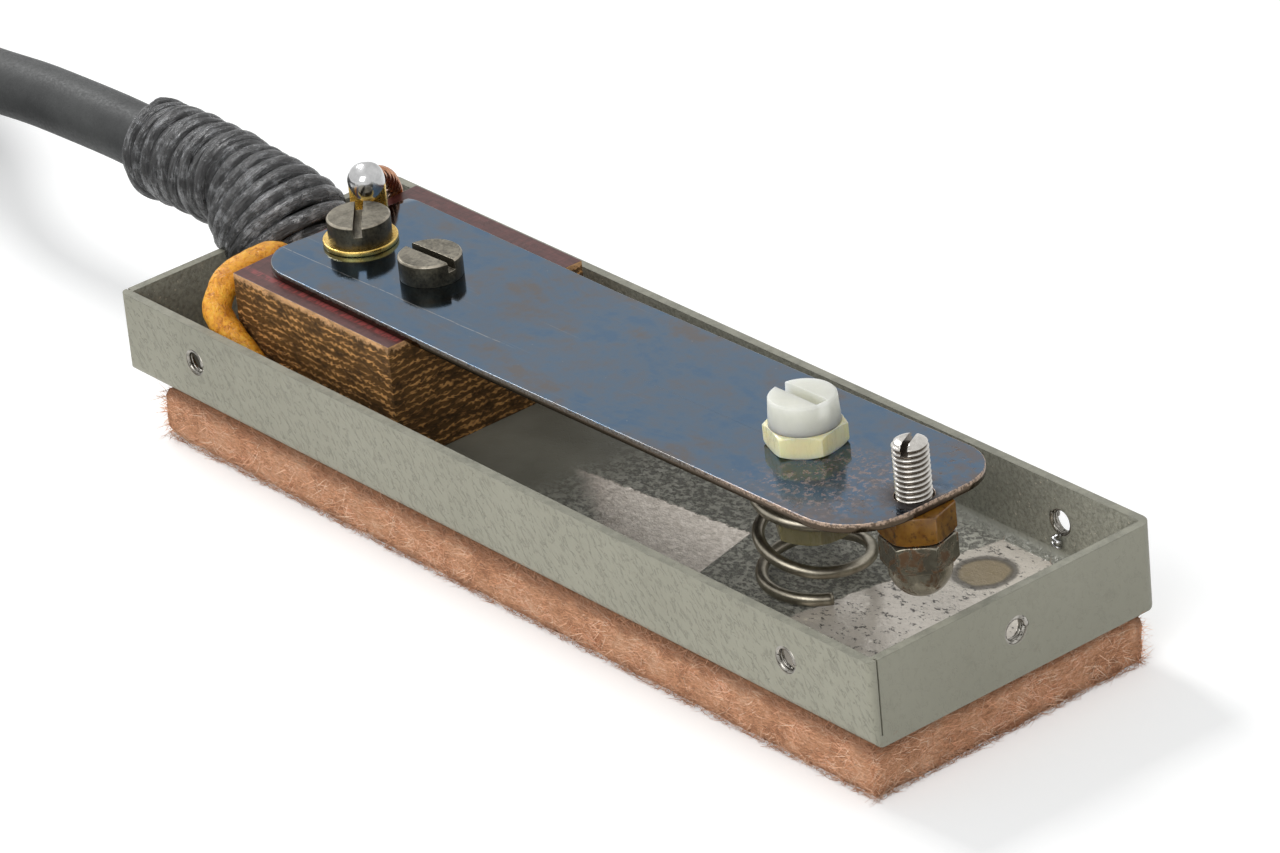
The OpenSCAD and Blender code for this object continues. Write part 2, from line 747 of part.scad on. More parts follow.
// Point of the lead after a share t of its turn and of its way round to the coil
function lead_point(t) =
    let (
        turn = min(1, 2 * t * lead_part) * lead_turn_angle,
        round_coil = coil_point(lead_turn_angle * (max(1, 2 * t * lead_part) - 2)),
        place = 2 * t * lead_part < 1
            ? [lead_turn_x - lead_turn_r * sin(turn), cable_y + lead_turn_r * (1 - cos(turn))]
            : [round_coil.x, round_coil.y]
    ) [place.x, place.y, coil_high_z + (lead_high_z - coil_high_z) * lead_height(t)];

function cable_route() = concat(
    [for (p = cable_level_points) [rear_x, cable_y, cable_z] + p],
    [for (i = [1:lead_points]) lead_point(i / lead_points)],
    [coil_joint(0)]
);

module cable() {
    cable_route = cable_route();
    echo(str("length of the lead, mm: ", path_length(cable_route)));
    color("dimgray") plain_tube(cable_route, [0, 1, 0], cable_d, cable_sides);
}

// Point and frame of the cable axis: distance s along it from the start of the whipping
function whip_axis(s) =
    let (
        straight = bend_start_x - whip_start_x,
        angle = s <= straight ? 0 : (s - straight) / cable_bend_r * 180 / PI,
        x = s <= straight ? whip_start_x + s : bend_start_x + cable_bend_r * sin(angle),
        z = cable_z - cable_bend_r * (1 - cos(angle))
    ) [[x, cable_y, z], [cos(angle), 0, -sin(angle)], [sin(angle), 0, cos(angle)]];

// Point of the whipping cord after a number of turns
function whip_point(turns) =
    let (
        straight = bend_start_x - whip_start_x,
        fan = max(0, turns - whip_straight_turns) / whip_fan_turns,
        s = min(turns, whip_straight_turns) / whip_straight_turns * straight
            + fan * cable_bend_r * whip_bend_angle * PI / 180,
        r = (cable_d + whip_cord_d) / 2 + whip_clear + whip_flare * ease(fan),
        axis = whip_axis(s)
    ) axis[0] + r * (cos(360 * turns) * axis[2] + sin(360 * turns) * [0, 1, 0]);

module cable_whipping() {
    turns = whip_straight_turns + whip_fan_turns;
    wound = [for (i = [0:turns * loop_rings]) whip_point(i / loop_rings)];
    first = unit(wound[0] - wound[1]);
    last = unit(wound[len(wound) - 1] - wound[len(wound) - 2]);
    path = concat([wound[0] + whip_cord_d * first], wound, [wound[len(wound) - 1] + whip_cord_d * last]);
    beside = [for (i = [0:len(path) - 1]) let (t = max(0, min(turns, (i - 1) / loop_rings)))
        whip_axis(t / turns * (bend_start_x - whip_start_x))[1]];
    echo(str("least gap in cable_whipping, mm: ", least_distance(path, loop_rings / 2) - whip_cord_d));
    color("black") tube(path, beside, whip_cord_d, loop_sides);
}

// Point of the coil at an angle travelled since its start: in on the upper layer, down, out on the lower one
function coil_point(angle) =
    let (
        layer = 360 * coil_layer_turns,
        climb = max(0, min(1, (angle - layer) / coil_climb_angle)),
        inward = min(angle, layer) / 360,
        outward = max(0, angle - layer - coil_climb_angle) / 360,
        r = coil_outer_r - coil_step * (inward - outward) - coil_climb_dip * sin(180 * climb),
        a = coil_start_angle + angle
    ) coil_centre + [r * cos(a), r * sin(a), coil_step * (1 - ease(climb))];

// Middle of the straight piece of the coil at an angle
function coil_joint(angle) = (coil_point(angle - coil_half_step) + coil_point(angle + coil_half_step)) / 2;

module cable_coil() {
    steps = coil_total / 360 * loop_rings;
    wound = [for (i = [1:steps]) coil_point((2 * i - 1) * coil_half_step)];
    path = concat([coil_joint(0)], wound, [coil_joint(coil_total)]);
    echo(str("least gap in cable_coil, mm: ", least_distance(path, loop_rings / 2) - cable_d));
    echo(str("length of the coil, mm: ", path_length(path)));
    color("dimgray") plain_tube(path, [0, 0, 1], cable_d, loop_sides);
}

// Route from the coil to the plug, level at both ends
function tail_route() =
    let (start = coil_joint(coil_total), rise = [0, tail_swing, plug_grip_d / 2 - start.z])
    [for (i = [0:tail_steps])
        start + [tail_l * i / tail_steps, 0, 0] + rise * ease(max(0, min(1, (i - 1) / (tail_steps - 2))))];

module cable_tail() {
    route = tail_route();
    echo(str("length of the tail, mm: ", path_length(route)));
    color("dimgray") plain_tube(route, [0, 1, 0], cable_d, cable_sides);
}

module coil_tie() {
    low = [coil_mid_r - coil_step * 0.75 - cable_d / 2 - tie_clear, -cable_d / 2 - tie_clear / 2];
    high = [coil_mid_r + coil_step * 0.25 + cable_d / 2 + tie_clear, coil_step + cable_d / 2 + tie_clear];
    edge = [tie_t, tie_t];
    outer_r = tie_corner_r + tie_t;
    color("black") translate(coil_centre + [0, tie_w / 2, 0]) rotate([90, 0, 0]) linear_extrude(tie_w)
        difference() {
            rounded_plan(low - edge, high + edge, outer_r * [1, 1, 1, 1]);
            rounded_plan(low, high, tie_corner_r * [1, 1, 1, 1]);
        }
}

// Places its children, drawn along +Z, at a distance along the plug
module along_plug(x) {
    translate(tail_route()[tail_steps] + [x, 0, 0]) rotate([0, 90, 0]) children();
}

module plug_grip() {
    color("black") along_plug(0) rotate_extrude() polygon([
        [0, 0], [plug_neck_d / 2, 0], [plug_neck_d / 2 + plug_shoulder, plug_neck_l],
        [plug_grip_d / 2 - plug_shoulder, plug_neck_l + plug_collar_l],
        [plug_grip_d / 2, plug_neck_l + 2 * plug_collar_l],
        [plug_grip_d / 2, plug_grip_l - plug_shoulder], [plug_grip_d / 2 - plug_shoulder, plug_grip_l],
        [0, plug_grip_l]
    ]);
}

module plug_sleeve() {
    color("silver") along_plug(plug_grip_l) cylinder(d = plug_shaft_d, h = plug_sleeve_l);
}

module plug_insulator() {
    color("black") along_plug(plug_grip_l + plug_sleeve_l) cylinder(d = plug_shaft_d, h = plug_ring_l);
}

module plug_tip() {
    ball_r = plug_shaft_d / 2;
    color("silver") along_plug(plug_grip_l + plug_sleeve_l + plug_ring_l) rotate_extrude() polygon([
        [0, 0], [ball_r, 0], [plug_tip_neck_d / 2, plug_tip_l * 0.3], [ball_r * 0.95, plug_tip_l * 0.6],
        [plug_tip_neck_d / 2, plug_tip_l * 0.85], [0.8, plug_tip_l], [0, plug_tip_l]
    ]);
}

felt_pad();
base_tray();
lever_block();
block_fixing_screws();
lever_clamped_end();
lever_arm();
rear_lever_screw();
front_lever_screw();
solder_tag();
tag_solder();
tag_wire();
earth_wire();
earth_solder();
knob_screw();
knob_nut();
knob_spacer();
return_spring();
contact_screw();
contact_lock_nut();
contact_dome();
cable();
cable_whipping();
cable_coil();
cable_tail();
coil_tie();
plug_grip();
plug_sleeve();
plug_insulator();
plug_tip();
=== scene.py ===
"""Looks of the telegraph key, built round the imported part.

Numbers are millimetres unless a name or a comment says otherwise.
"""

import json
import math
import random

import bmesh
import bpy
from mathutils import Matrix, Vector, noise

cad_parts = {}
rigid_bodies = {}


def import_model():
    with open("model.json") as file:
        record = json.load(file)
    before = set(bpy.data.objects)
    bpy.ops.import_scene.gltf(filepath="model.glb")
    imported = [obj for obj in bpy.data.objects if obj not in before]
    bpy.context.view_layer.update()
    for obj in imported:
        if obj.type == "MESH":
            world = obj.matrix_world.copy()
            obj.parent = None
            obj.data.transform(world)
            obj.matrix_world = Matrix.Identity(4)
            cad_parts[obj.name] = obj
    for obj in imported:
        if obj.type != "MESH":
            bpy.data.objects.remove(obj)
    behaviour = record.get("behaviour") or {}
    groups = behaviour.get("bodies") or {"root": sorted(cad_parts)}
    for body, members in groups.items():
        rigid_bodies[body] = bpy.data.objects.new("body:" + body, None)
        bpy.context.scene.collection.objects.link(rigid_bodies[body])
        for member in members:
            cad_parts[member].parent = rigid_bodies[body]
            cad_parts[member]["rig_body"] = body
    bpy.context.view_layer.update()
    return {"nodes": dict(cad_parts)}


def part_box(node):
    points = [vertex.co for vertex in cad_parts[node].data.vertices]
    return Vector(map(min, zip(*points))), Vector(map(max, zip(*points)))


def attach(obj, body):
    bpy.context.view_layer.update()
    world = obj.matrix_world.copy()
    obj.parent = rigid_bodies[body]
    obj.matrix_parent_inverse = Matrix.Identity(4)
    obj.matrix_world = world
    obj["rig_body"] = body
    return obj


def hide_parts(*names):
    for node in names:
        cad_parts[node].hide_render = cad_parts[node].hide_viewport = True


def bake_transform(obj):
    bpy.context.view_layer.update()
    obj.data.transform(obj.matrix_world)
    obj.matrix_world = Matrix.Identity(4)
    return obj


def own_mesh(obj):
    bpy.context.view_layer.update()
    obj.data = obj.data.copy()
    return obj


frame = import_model()

MM = 0.001

# Places and sizes of the part
REAR_X = -48.4
FRONT_X = 48.4
NEAR_Y = -15.0
FAR_Y = 15.0
FELT_T = 4.8
SHEET_T = 0.8
FLOOR_Z = 5.6
RIM_Z = 12.5
BLOCK_LOW = (-36.5, -11.15)
BLOCK_HIGH = (-15.2, 9.75)
BLOCK_SKEW = 1.2
BLOCK_TOP = 16.7
LEVER_T = 0.8
LEVER_LOW = (-36.2, -9.5)
LEVER_HIGH = (41.0, 7.0)
LEVER_RADII = (4.5, 2.5, 6.0, 4.6)
LEVER_SKEW = 1.3
LEVER_EDGE = 0.16
LEVER_HOLES = ((-31.5, -1.1), (-21.8, -1.1), (25.9, -0.95), (39.1, -1.4))
LEVER_HOLE_PLAY = 0.1
BEND = (-7.0, 17.1)
BEND_REACH = 8.2
ARM_RISE = 1.0
THREAD_D = 3.0
HOLE_D = 2.3
HOLE_X = 38.3
HOLE_Z = 9.0
STUD_RISE = 4.9
STUD_CROWN = 0.5
STUD_PITCH = 0.45
STUD_CROWN_DROP = 0.72
STUD_GROOVE = 0.29
STUD_GROOVE_HALF = 0.42
STUD_GROOVE_SHAPE = 0.85
STUD_SLOT = (0.6, 0.9, -62.0)
DOME_FLATS_Z = 12.4
SPRING_R = 4.5
SPRING_WIRE_D = 1.05
SPRING_TURNS = 3.25
SPRING_START = -26.0
SPRING_LOW = 6.225
SPRING_HIGH = 16.552
SPRING_RISE = ((0, 0), (0.08, 0.03), (0.32, 0.24), (0.39, 0.38), (0.85, 0.92), (0.92, 0.98), (1, 1))
TAG_SOLDER = (-34.64, 2.39, 20.9)
SOLDER_R = 1.62
TAG_WIRE_D = 1.5
TAG_STRANDS = 6
TAG_STRAND_LAY = 6.0
EARTH_WIRE_D = 2.6

# Wear on the tray floor and on the lever
FLOOR_EDGE_Y = 13.35
PATCH_BORDER_Y = -0.4
PATCH_END_X = 16.1
BARE_FRONT_X = 30.2
FLOOR_SPOT = (35.1, 8.6)
SCRATCH_Y = -5.2

# Cut sides of the felt: pitch of its mesh, waves as (height, waves per mm), and its loose fibres
FELT_PITCH = (0.8, 0.8, 0.6)
FELT_BULGE = 0.10
FELT_WAVES = ((0.24, 0.45), (0.14, 1.3))
FELT_INSET = 0.08
FELT_LOW_PINCH = 0.5
FELT_HIGH_PINCH = 0.25
FIBRE_COUNT = 36000
FIBRE_ROOT = 0.12
FIBRE_REACH = (0.5, 1.8)
FIBRE_WIDTH = (0.014, 0.034)
FIBRE_STEPS = 3

# Places and sizes of the cable
CABLE_D = 5.8
CABLE_Y = 1.0
CABLE_Z = 15.8
CABLE_END = (-44.0, 1.0, 12.8)
LEAD_AT_KEY = (
    (4.4, -3), (4, -2.6), (2.4, -1.5), (0.7, -0.7), (-1.2, -0.2), (-3.1, 0), (-6.6, 0), (-11.6, 0), (-16.6, 0),
    (-21.6, 0), (-27.6, -0.2), (-33.6, -0.5), (-39.6, -1.1),
)
LEAD_TURN_X = -88.4
LEAD_TURN_R = 31.0
LEAD_SWING = 11.0
LEAD_POINTS = 8
LEAD_HIGH_Z = 14.7
LEAD_SLOPE = 0.84
COIL_STEP = 6.4
COIL_OUTER_R = 35.9
COIL_LOW_Z = 3.7
COIL_HIGH_Z = COIL_LOW_Z + COIL_STEP
COIL_LAYER_TURNS = 2
COIL_CLIMB = 180.0
COIL_TOTAL = 720.0 * COIL_LAYER_TURNS + COIL_CLIMB
COIL_DIP = 0.8
COIL_HALF_STEP = 7.5
LEAD_MEET_R = COIL_OUTER_R + COIL_STEP / 11
LEAD_TURN = math.acos((COIL_OUTER_R - LEAD_SWING + LEAD_TURN_R) / (LEAD_MEET_R + LEAD_TURN_R))
COIL_CENTRE_X = LEAD_TURN_X - (LEAD_MEET_R + LEAD_TURN_R) * math.sin(LEAD_TURN)
COIL_CENTRE_Y = CABLE_Y + LEAD_SWING - COIL_OUTER_R
TAIL_L = 24.0
TAIL_SWING = 2.6
TAIL_STEPS = 8
PLUG_AXIS_Z = 6.0

# The cord wound round the cable. Its upper layers: turns, start, length short, lift, seed and way round
WHIP_START_X = -64.5
WHIP_BEND_X = -51.5
WHIP_BEND_R = 11.0
WHIP_STRAIGHT_L = WHIP_BEND_X - WHIP_START_X
WHIP_BEND_L = WHIP_BEND_R * math.radians(40.0)
WHIP_INNER_L = WHIP_BEND_R * math.radians(12.0)
WHIP_STRAIGHT_TURNS = 12
WHIP_FAN_TURNS = 6.5
WHIP_INNER_TURNS = 2.0
WHIP_TURN_POINTS = 48
WHIP_CORD_D = 1.08
WHIP_FAN_CORD_D = 1.5
WHIP_FAN_AT = 0.51
WHIP_UNEVEN = 0.16
WHIP_FLARE = 1.5
WHIP_SAG = 1.7
WHIP_SAG_ANGLE = 225.0
WHIP_SWAY = 0.26
WHIP_LOOSE = 0.2
WHIP_LAYERS = ((9.4, 0.5, 0.6, 0.32, 21.0, 1), (4.3, 1.2, 1.6, 0.55, 43.0, -1))

# The photograph's camera
PICTURE_WIDTH = 1280
FOCAL_PIXELS = 6910.5412
SENSOR_WIDTH = 36.0
CAMERA_TURN = 0.9164765
CAMERA_RISE = 0.4818938
CAMERA_ROLL = -0.0977591
CAMERA_OFFSET = (-1.548495, -4.670592)
CAMERA_DISTANCE = 571.269525

# Floor and light, in metres and watts
WHITE = (1.0, 1.0, 1.0)
TABLE_HALF = 4.0
TABLE_TONE = (0.86, 0.86, 0.85)
TABLE_GLOW = 0.28
SKY_TONE = (0.95, 0.97, 1.0)
SKY_STRENGTH = 0.45
SOFTBOXES = {"main_softbox": ((-0.72, 0.08, 0.68), 0.3, 5.5), "fill_softbox": ((0.35, -0.95, 0.65), 0.9, 7.6)}

UP = Vector((0, 0, 1))

scene = bpy.context.scene
scene.view_settings.view_transform = "Standard"


def vec(x, y, z):
    return Vector((x, y, z))


def ease(t):
    t = max(0.0, min(1.0, t))
    return t * t * (3 - 2 * t)


def lookup(t, table):
    for (a, low), (b, high) in zip(table, table[1:]):
        if t <= b:
            return low + (high - low) * (t - a) / (b - a)
    return table[-1][1]


def circle(count):
    """Angles of that many points round a circle."""
    return [2 * math.pi * k / count for k in range(count)]


def length_of(line):
    return sum((b - a).length for a, b in zip(line, line[1:]))


def new_object(name, data):
    data.name = name
    obj = bpy.data.objects.new(name, data)
    scene.collection.objects.link(obj)
    return obj


def make_camera():
    back = vec(
        math.sin(CAMERA_TURN) * math.cos(CAMERA_RISE),
        -math.cos(CAMERA_TURN) * math.cos(CAMERA_RISE),
        math.sin(CAMERA_RISE),
    )
    level = vec(math.cos(CAMERA_TURN), math.sin(CAMERA_TURN), 0)
    rise = back.cross(level)
    c, s = math.cos(CAMERA_ROLL), math.sin(CAMERA_ROLL)
    right, up = c * level + s * rise, c * rise - s * level
    place = back * CAMERA_DISTANCE - right * CAMERA_OFFSET[0] - up * CAMERA_OFFSET[1] + vec(0, 0, FELT_T)
    data = bpy.data.cameras.new("camera")
    data.sensor_width = SENSOR_WIDTH
    data.lens = FOCAL_PIXELS * SENSOR_WIDTH / PICTURE_WIDTH
    data.clip_start, data.clip_end = 0.01, 20
    camera = new_object("camera", data)
    camera.matrix_world = Matrix.Translation(place * MM) @ Matrix((right, up, back)).transposed().to_4x4()
    scene.camera = camera


make_camera()


# Lines, skins and pieces


def smooth_line(points, steps):
    """A finer line through the points, as a Catmull-Rom curve."""
    line = []
    for i in range(len(points) - 1):
        a, b, c, d = (points[max(0, min(len(points) - 1, i + k))] for k in (-1, 0, 1, 2))
        for k in range(steps):
            t = k / steps
            square, cube = 2 * a - 5 * b + 4 * c - d, 3 * b - a - 3 * c + d
            line.append(0.5 * (2 * b + (c - a) * t + square * t**2 + cube * t**3))
    return line + [points[-1]]


def line_frames(points):
    """Two sideways vectors at each point, without twist, and the length up to it."""
    frames = []
    side = None
    travelled = 0.0
    for i, p in enumerate(points):
        ahead = (points[min(i + 1, len(points) - 1)] - points[max(i - 1, 0)]).normalized()
        if side is None:
            side = ahead.orthogonal().normalized()
        side = (side - ahead * side.dot(ahead)).normalized()
        travelled += (p - points[i - 1]).length if i else 0.0
        frames.append((side, ahead.cross(side), travelled))
    return frames


def mesh_of(bm, smooth=True):
    """The mesh of what was drawn, with all its faces smooth or as they are."""
    if smooth:
        for face in bm.faces:
            face.smooth = True
    mesh = bpy.data.meshes.new("drawn")
    bm.to_mesh(mesh)
    bm.free()
    return mesh


def cut_across(bm, axis, at):
    """Cuts all that is drawn across an axis at a place."""
    normal, place = Vector(), Vector()
    normal[axis], place[axis] = 1, at
    bmesh.ops.bisect_plane(bm, geom=bm.verts[:] + bm.edges[:] + bm.faces[:], plane_co=place, plane_no=normal)


def tube_mesh(lines, radius, sides=14):
    """One mesh of tubes along lines of points. UV holds the length in mm and the turn round the tube."""
    bm = bmesh.new()
    uv = bm.loops.layers.uv.new("UVMap")
    for n, points in enumerate(lines):
        rings, along = [], []
        for p, (side, other, travelled) in zip(points, line_frames(points)):
            ring = []
            for a in circle(sides):
                r = radius(n, travelled, a) if callable(radius) else radius
                ring.append(bm.verts.new((p + r * (math.cos(a) * side + math.sin(a) * other)) * MM))
            rings.append(ring)
            along.append(travelled)
        for i in range(len(rings) - 1):
            for k in range(sides):
                j = (k + 1) % sides
                face = bm.faces.new((rings[i][k], rings[i][j], rings[i + 1][j], rings[i + 1][k]))
                face.smooth = True
                places = ((along[i], k), (along[i], k + 1), (along[i + 1], k + 1), (along[i + 1], k))
                for loop, (u, v) in zip(face.loops, places):
                    loop[uv].uv = (u, v / sides)
        for ring, turn in ((rings[0], -1), (rings[-1], 1)):
            bm.faces.new(ring[::turn])
    bmesh.ops.recalc_face_normals(bm, faces=bm.faces)
    return mesh_of(bm, smooth=False)


def piece(name, mesh, slot, body="base", nodes=(), look=None):
    """A new piece of the object, in place, with its material and body, which hides the solids that it stands
    for.
    """
    obj = new_object(name, mesh)
    obj.data.materials.clear()
    obj.data.materials.append(LOOKS[look or slot].material)
    if body:
        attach(obj, body)
    if nodes:
        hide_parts(*nodes)
    return obj


def settle(obj):
    """Makes the piece's modifiers part of its mesh."""
    graph = bpy.context.evaluated_depsgraph_get()
    mesh = bpy.data.meshes.new_from_object(obj.evaluated_get(graph))
    obj.modifiers.clear()
    obj.data = mesh
    return obj


def round_edges(obj, width, segments=2, angle=32):
    bevel = obj.modifiers.new("rounded edges", "BEVEL")
    bevel.width = width * MM
    bevel.segments = segments
    bevel.limit_method = "ANGLE"
    bevel.angle_limit = math.radians(angle)
    flat = obj.modifiers.new("flat faces", "WEIGHTED_NORMAL")
    flat.keep_sharp = True
    return obj


def dress(node, slot, width, segments=2, angle=32, look=None):
    """A finished copy of a solid, with its flat faces merged and its edges rounded."""
    source = frame["nodes"][node]
    bm = bmesh.new()
    bm.from_mesh(source.data)
    bmesh.ops.remove_doubles(bm, verts=bm.verts, dist=2e-6)
    bmesh.ops.dissolve_limit(bm, angle_limit=math.radians(0.6), verts=bm.verts, edges=bm.edges)
    obj = piece(node + "_finished", mesh_of(bm), slot, source["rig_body"], [node], look)
    return round_edges(obj, width, segments, angle)


def on_arm():
    """Place of the sloping arm for points drawn on the level lever."""
    bend = vec(BEND[0], 0, BEND[1]) * MM
    turn = Matrix.Rotation(-math.radians(ARM_RISE), 4, "Y")
    return Matrix.Translation(bend) @ turn @ Matrix.Translation(-bend)


# Materials


def put(tree, socket, value):
    """Links a field or an output to the socket, or sets its own value."""
    if isinstance(value, Field):
        value = value.socket
    if isinstance(value, bpy.types.NodeSocket):
        tree.links.new(value, socket)
    elif isinstance(value, tuple) and socket.type == "RGBA":
        socket.default_value = (*value, 1.0)
    else:
        socket.default_value = value


def add_node(tree, kind, inputs=(), **settings):
    made = tree.nodes.new("ShaderNode" + kind)
    for key, value in settings.items():
        setattr(made, key, value)
    for key, value in dict(inputs).items():
        put(tree, made.inputs[key], value)
    return made


class Field:
    """A number or colour that varies over a material, with Python's arithmetic."""

    def __init__(self, look, socket):
        self.look = look
        self.socket = socket

    def __add__(self, other):
        return self.look.math("ADD", self, other)

    def __sub__(self, other):
        return self.look.math("SUBTRACT", self, other)

    def __mul__(self, other):
        return self.look.math("MULTIPLY", self, other)

    def __abs__(self):
        return self.look.math("ABSOLUTE", self)

    def step(self, low, high, out_low=0.0, out_high=1.0):
        """A soft step between two numbers while the field goes from low to high."""
        inputs = {0: self, 1: low, 2: high, 3: out_low, 4: out_high}
        return self.look.field("MapRange", inputs, interpolation_type="SMOOTHSTEP")

    def between(self, at_none, at_full):
        """A number for where the field is 0 and one for where it is 1."""
        return self.step(0.0, 1.0, at_none, at_full)

    def ramp(self, *stops):
        """Colours at places from 0 to 1."""
        made = add_node(self.look.tree, "ValToRGB", {"Fac": self})
        band = made.color_ramp
        while len(band.elements) < len(stops):
            band.elements.new(0.5)
        for element, (at, tone) in zip(band.elements, stops):
            element.position = at
        for element, (at, tone) in zip(band.elements, stops):
            element.color = (*tone, 1.0)
        return Field(self.look, made.outputs["Color"])


class Look:
    """A procedural material. Places are millimetres in the piece's own space."""

    def __init__(self, name, **sockets):
        self.material = bpy.data.materials.new(name)
        self.material.use_nodes = True
        self.tree = self.material.node_tree
        self.shader = self.tree.nodes["Principled BSDF"]
        self.coordinates = add_node(self.tree, "TexCoord").outputs
        self.place = self.vector("MULTIPLY", self.coordinates["Object"], (1 / MM, 1 / MM, 1 / MM))
        self.set(**sockets)

    def set(self, **sockets):
        """Sets or links the shader's own sockets."""
        for key, value in sockets.items():
            put(self.tree, self.shader.inputs[key.replace("_", " ")], value)
        return self

    def field(self, kind, inputs, output=0, **settings):
        return Field(self, add_node(self.tree, kind, inputs, **settings).outputs[output])

    def vector(self, operation, a, b):
        return self.field("VectorMath", {0: a, 1: b}, operation=operation)

    def math(self, operation, a, b=0.0):
        return self.field("Math", {0: a, 1: b}, operation=operation)

    def parts(self, source=None):
        """The three parts of a place, or of another vector."""
        made = add_node(self.tree, "SeparateXYZ", {0: source or self.place})
        return [Field(self, output) for output in made.outputs]

    def noise(self, scale, detail=3.0, rough=0.55, source=None, warp=0.0):
        """Cloudy pattern from 0 to 1, with scale in features per mm, alike or (x, y, z)."""
        each = scale if isinstance(scale, tuple) else (scale, scale, scale)
        place = self.vector("MULTIPLY", source or self.place, each)
        inputs = {"Vector": place, "Scale": 1.0, "Detail": detail, "Roughness": rough, "Distortion": warp}
        return self.field("TexNoise", inputs, "Fac")

    def mix(self, share, a, b):
        return self.field("Mix", {0: share, 6: a, 7: b}, 2, data_type="RGBA", blend_type="MIX")

    def most(self, first, *others):
        for other in others:
            first = self.math("MAXIMUM", first, other)
        return first

    def distance(self, x, y):
        return self.math("SQRT", x * x + y * y)

    def facing(self):
        """The parts of the surface's own normal: the third is 1 on level top faces."""
        return self.parts(self.coordinates["Normal"])

    def edges(self):
        """1 on the rounded edges of top faces."""
        upward = self.facing()[2]
        return upward.step(0.15, 0.4) * upward.step(0.985, 0.9)

    def bump(self, height, depth):
        """Relief of that depth in mm."""
        inputs = {"Height": height, "Distance": depth * MM, "Strength": 1.0}
        return self.set(Normal=self.field("Bump", inputs))


def tray_walls(look, facing):
    """Pocked paint with a dirty rim and light edges, grainy on the inside: its tone and its relief."""
    x, y, z = look.parts()
    # Long shallow dents that lean one way, and fewer of them on the end walls
    lean = look.vector("ADD", look.place, look.field("CombineXYZ", {0: z * 0.6}))
    ridge = abs(look.noise((2.1, 2.1, 1.15), 2, 0.5, lean, 0.5) - 0.5)
    broken = look.noise((1.6, 1.6, 1.1), 2, 0.5, lean).step(0.42, 0.56)
    dents = ridge.step(0.05, 0.008) * broken
    swell = look.noise((1.4, 1.4, 1), 3, 0.55, lean)
    side = abs(facing[1]).step(0.3, 0.8, 0.35, 1)
    tone = look.noise(0.09, 4).ramp((0.3, (0.288, 0.28, 0.217)), (0.7, (0.325, 0.316, 0.248)))
    paint = look.mix(dents * side * 0.3, tone, (0.15, 0.145, 0.112))
    stain = look.noise(0.35, 5, 0.7).step(0.56, 0.72, 0, 0.22)
    paint = look.mix(stain, paint, (0.17, 0.16, 0.12))
    scuff = look.noise((0.5, 0.5, 2), 5, 0.7)
    rim = z.step(RIM_Z - 0.12, RIM_Z - 0.02) * scuff.step(0.4, 0.62, 0.3, 1)
    paint = look.mix(rim * 0.55, paint, (0.135, 0.135, 0.105))
    edge = facing[2].step(0.15, 0.45) * facing[2].step(0.97, 0.8)
    paint = look.mix(edge * 0.3, paint, (0.5, 0.49, 0.41))
    # Grainy dark paint inside
    inner = (facing[0] * x + facing[1] * y).step(-2, -4)
    grain = look.noise(2.6, 5, 0.72)
    gritty = grain.ramp((0.38, (0.24, 0.24, 0.195)), (0.6, (0.4, 0.395, 0.328)))
    gritty = look.mix(look.noise(2.9, 2, 0.4).step(0.7, 0.74), gritty, (0.62, 0.57, 0.46))
    return look.mix(inner, paint, gritty), (swell * 0.7 - dents * 0.45) * side + inner * grain


def tray_metal(look, ragged, front):
    """Bare metal of the floor, bright and specked at the front, with a round stain: its tone and its specks."""
    x, y = look.parts()[:2]
    specks = look.noise((1.3, 1.8, 1), 5, 0.75).step(0.555, 0.62)
    scraped = look.noise((1.7, 2.3, 1), 5, 0.72)
    metal = scraped.ramp((0.36, (0.52, 0.465, 0.4)), (0.64, (0.88, 0.81, 0.725)))
    metal = look.mix(front * 0.8, metal, (0.9, 0.83, 0.73))
    metal = look.mix(specks * (front * 0.9), metal, (0.025, 0.023, 0.02))
    away = look.distance(x - FLOOR_SPOT[0], y - FLOOR_SPOT[1]) + ragged * 0.7
    metal = look.mix(away.step(2.9, 2.3, 0, 0.85), metal, (0.34, 0.265, 0.15))
    ring = away.step(2.2, 2.6) * away.step(3.3, 2.9)
    return look.mix(ring * 0.75, metal, (0.085, 0.078, 0.068)), specks


def tray_holes(look):
    """1 in the tapped holes of the walls."""
    x, y, z = look.parts()
    across, lift = abs(x) - HOLE_X, z - HOLE_Z
    reach = (HOLE_D / 2 + 0.06) ** 2
    at_sides = (across * across + lift * lift).step(reach, reach - 0.1)
    at_front = (y * y + lift * lift).step(reach, reach - 0.1) * x.step(FRONT_X - 1.4, FRONT_X - 1.1)
    return look.most(at_sides, at_front)


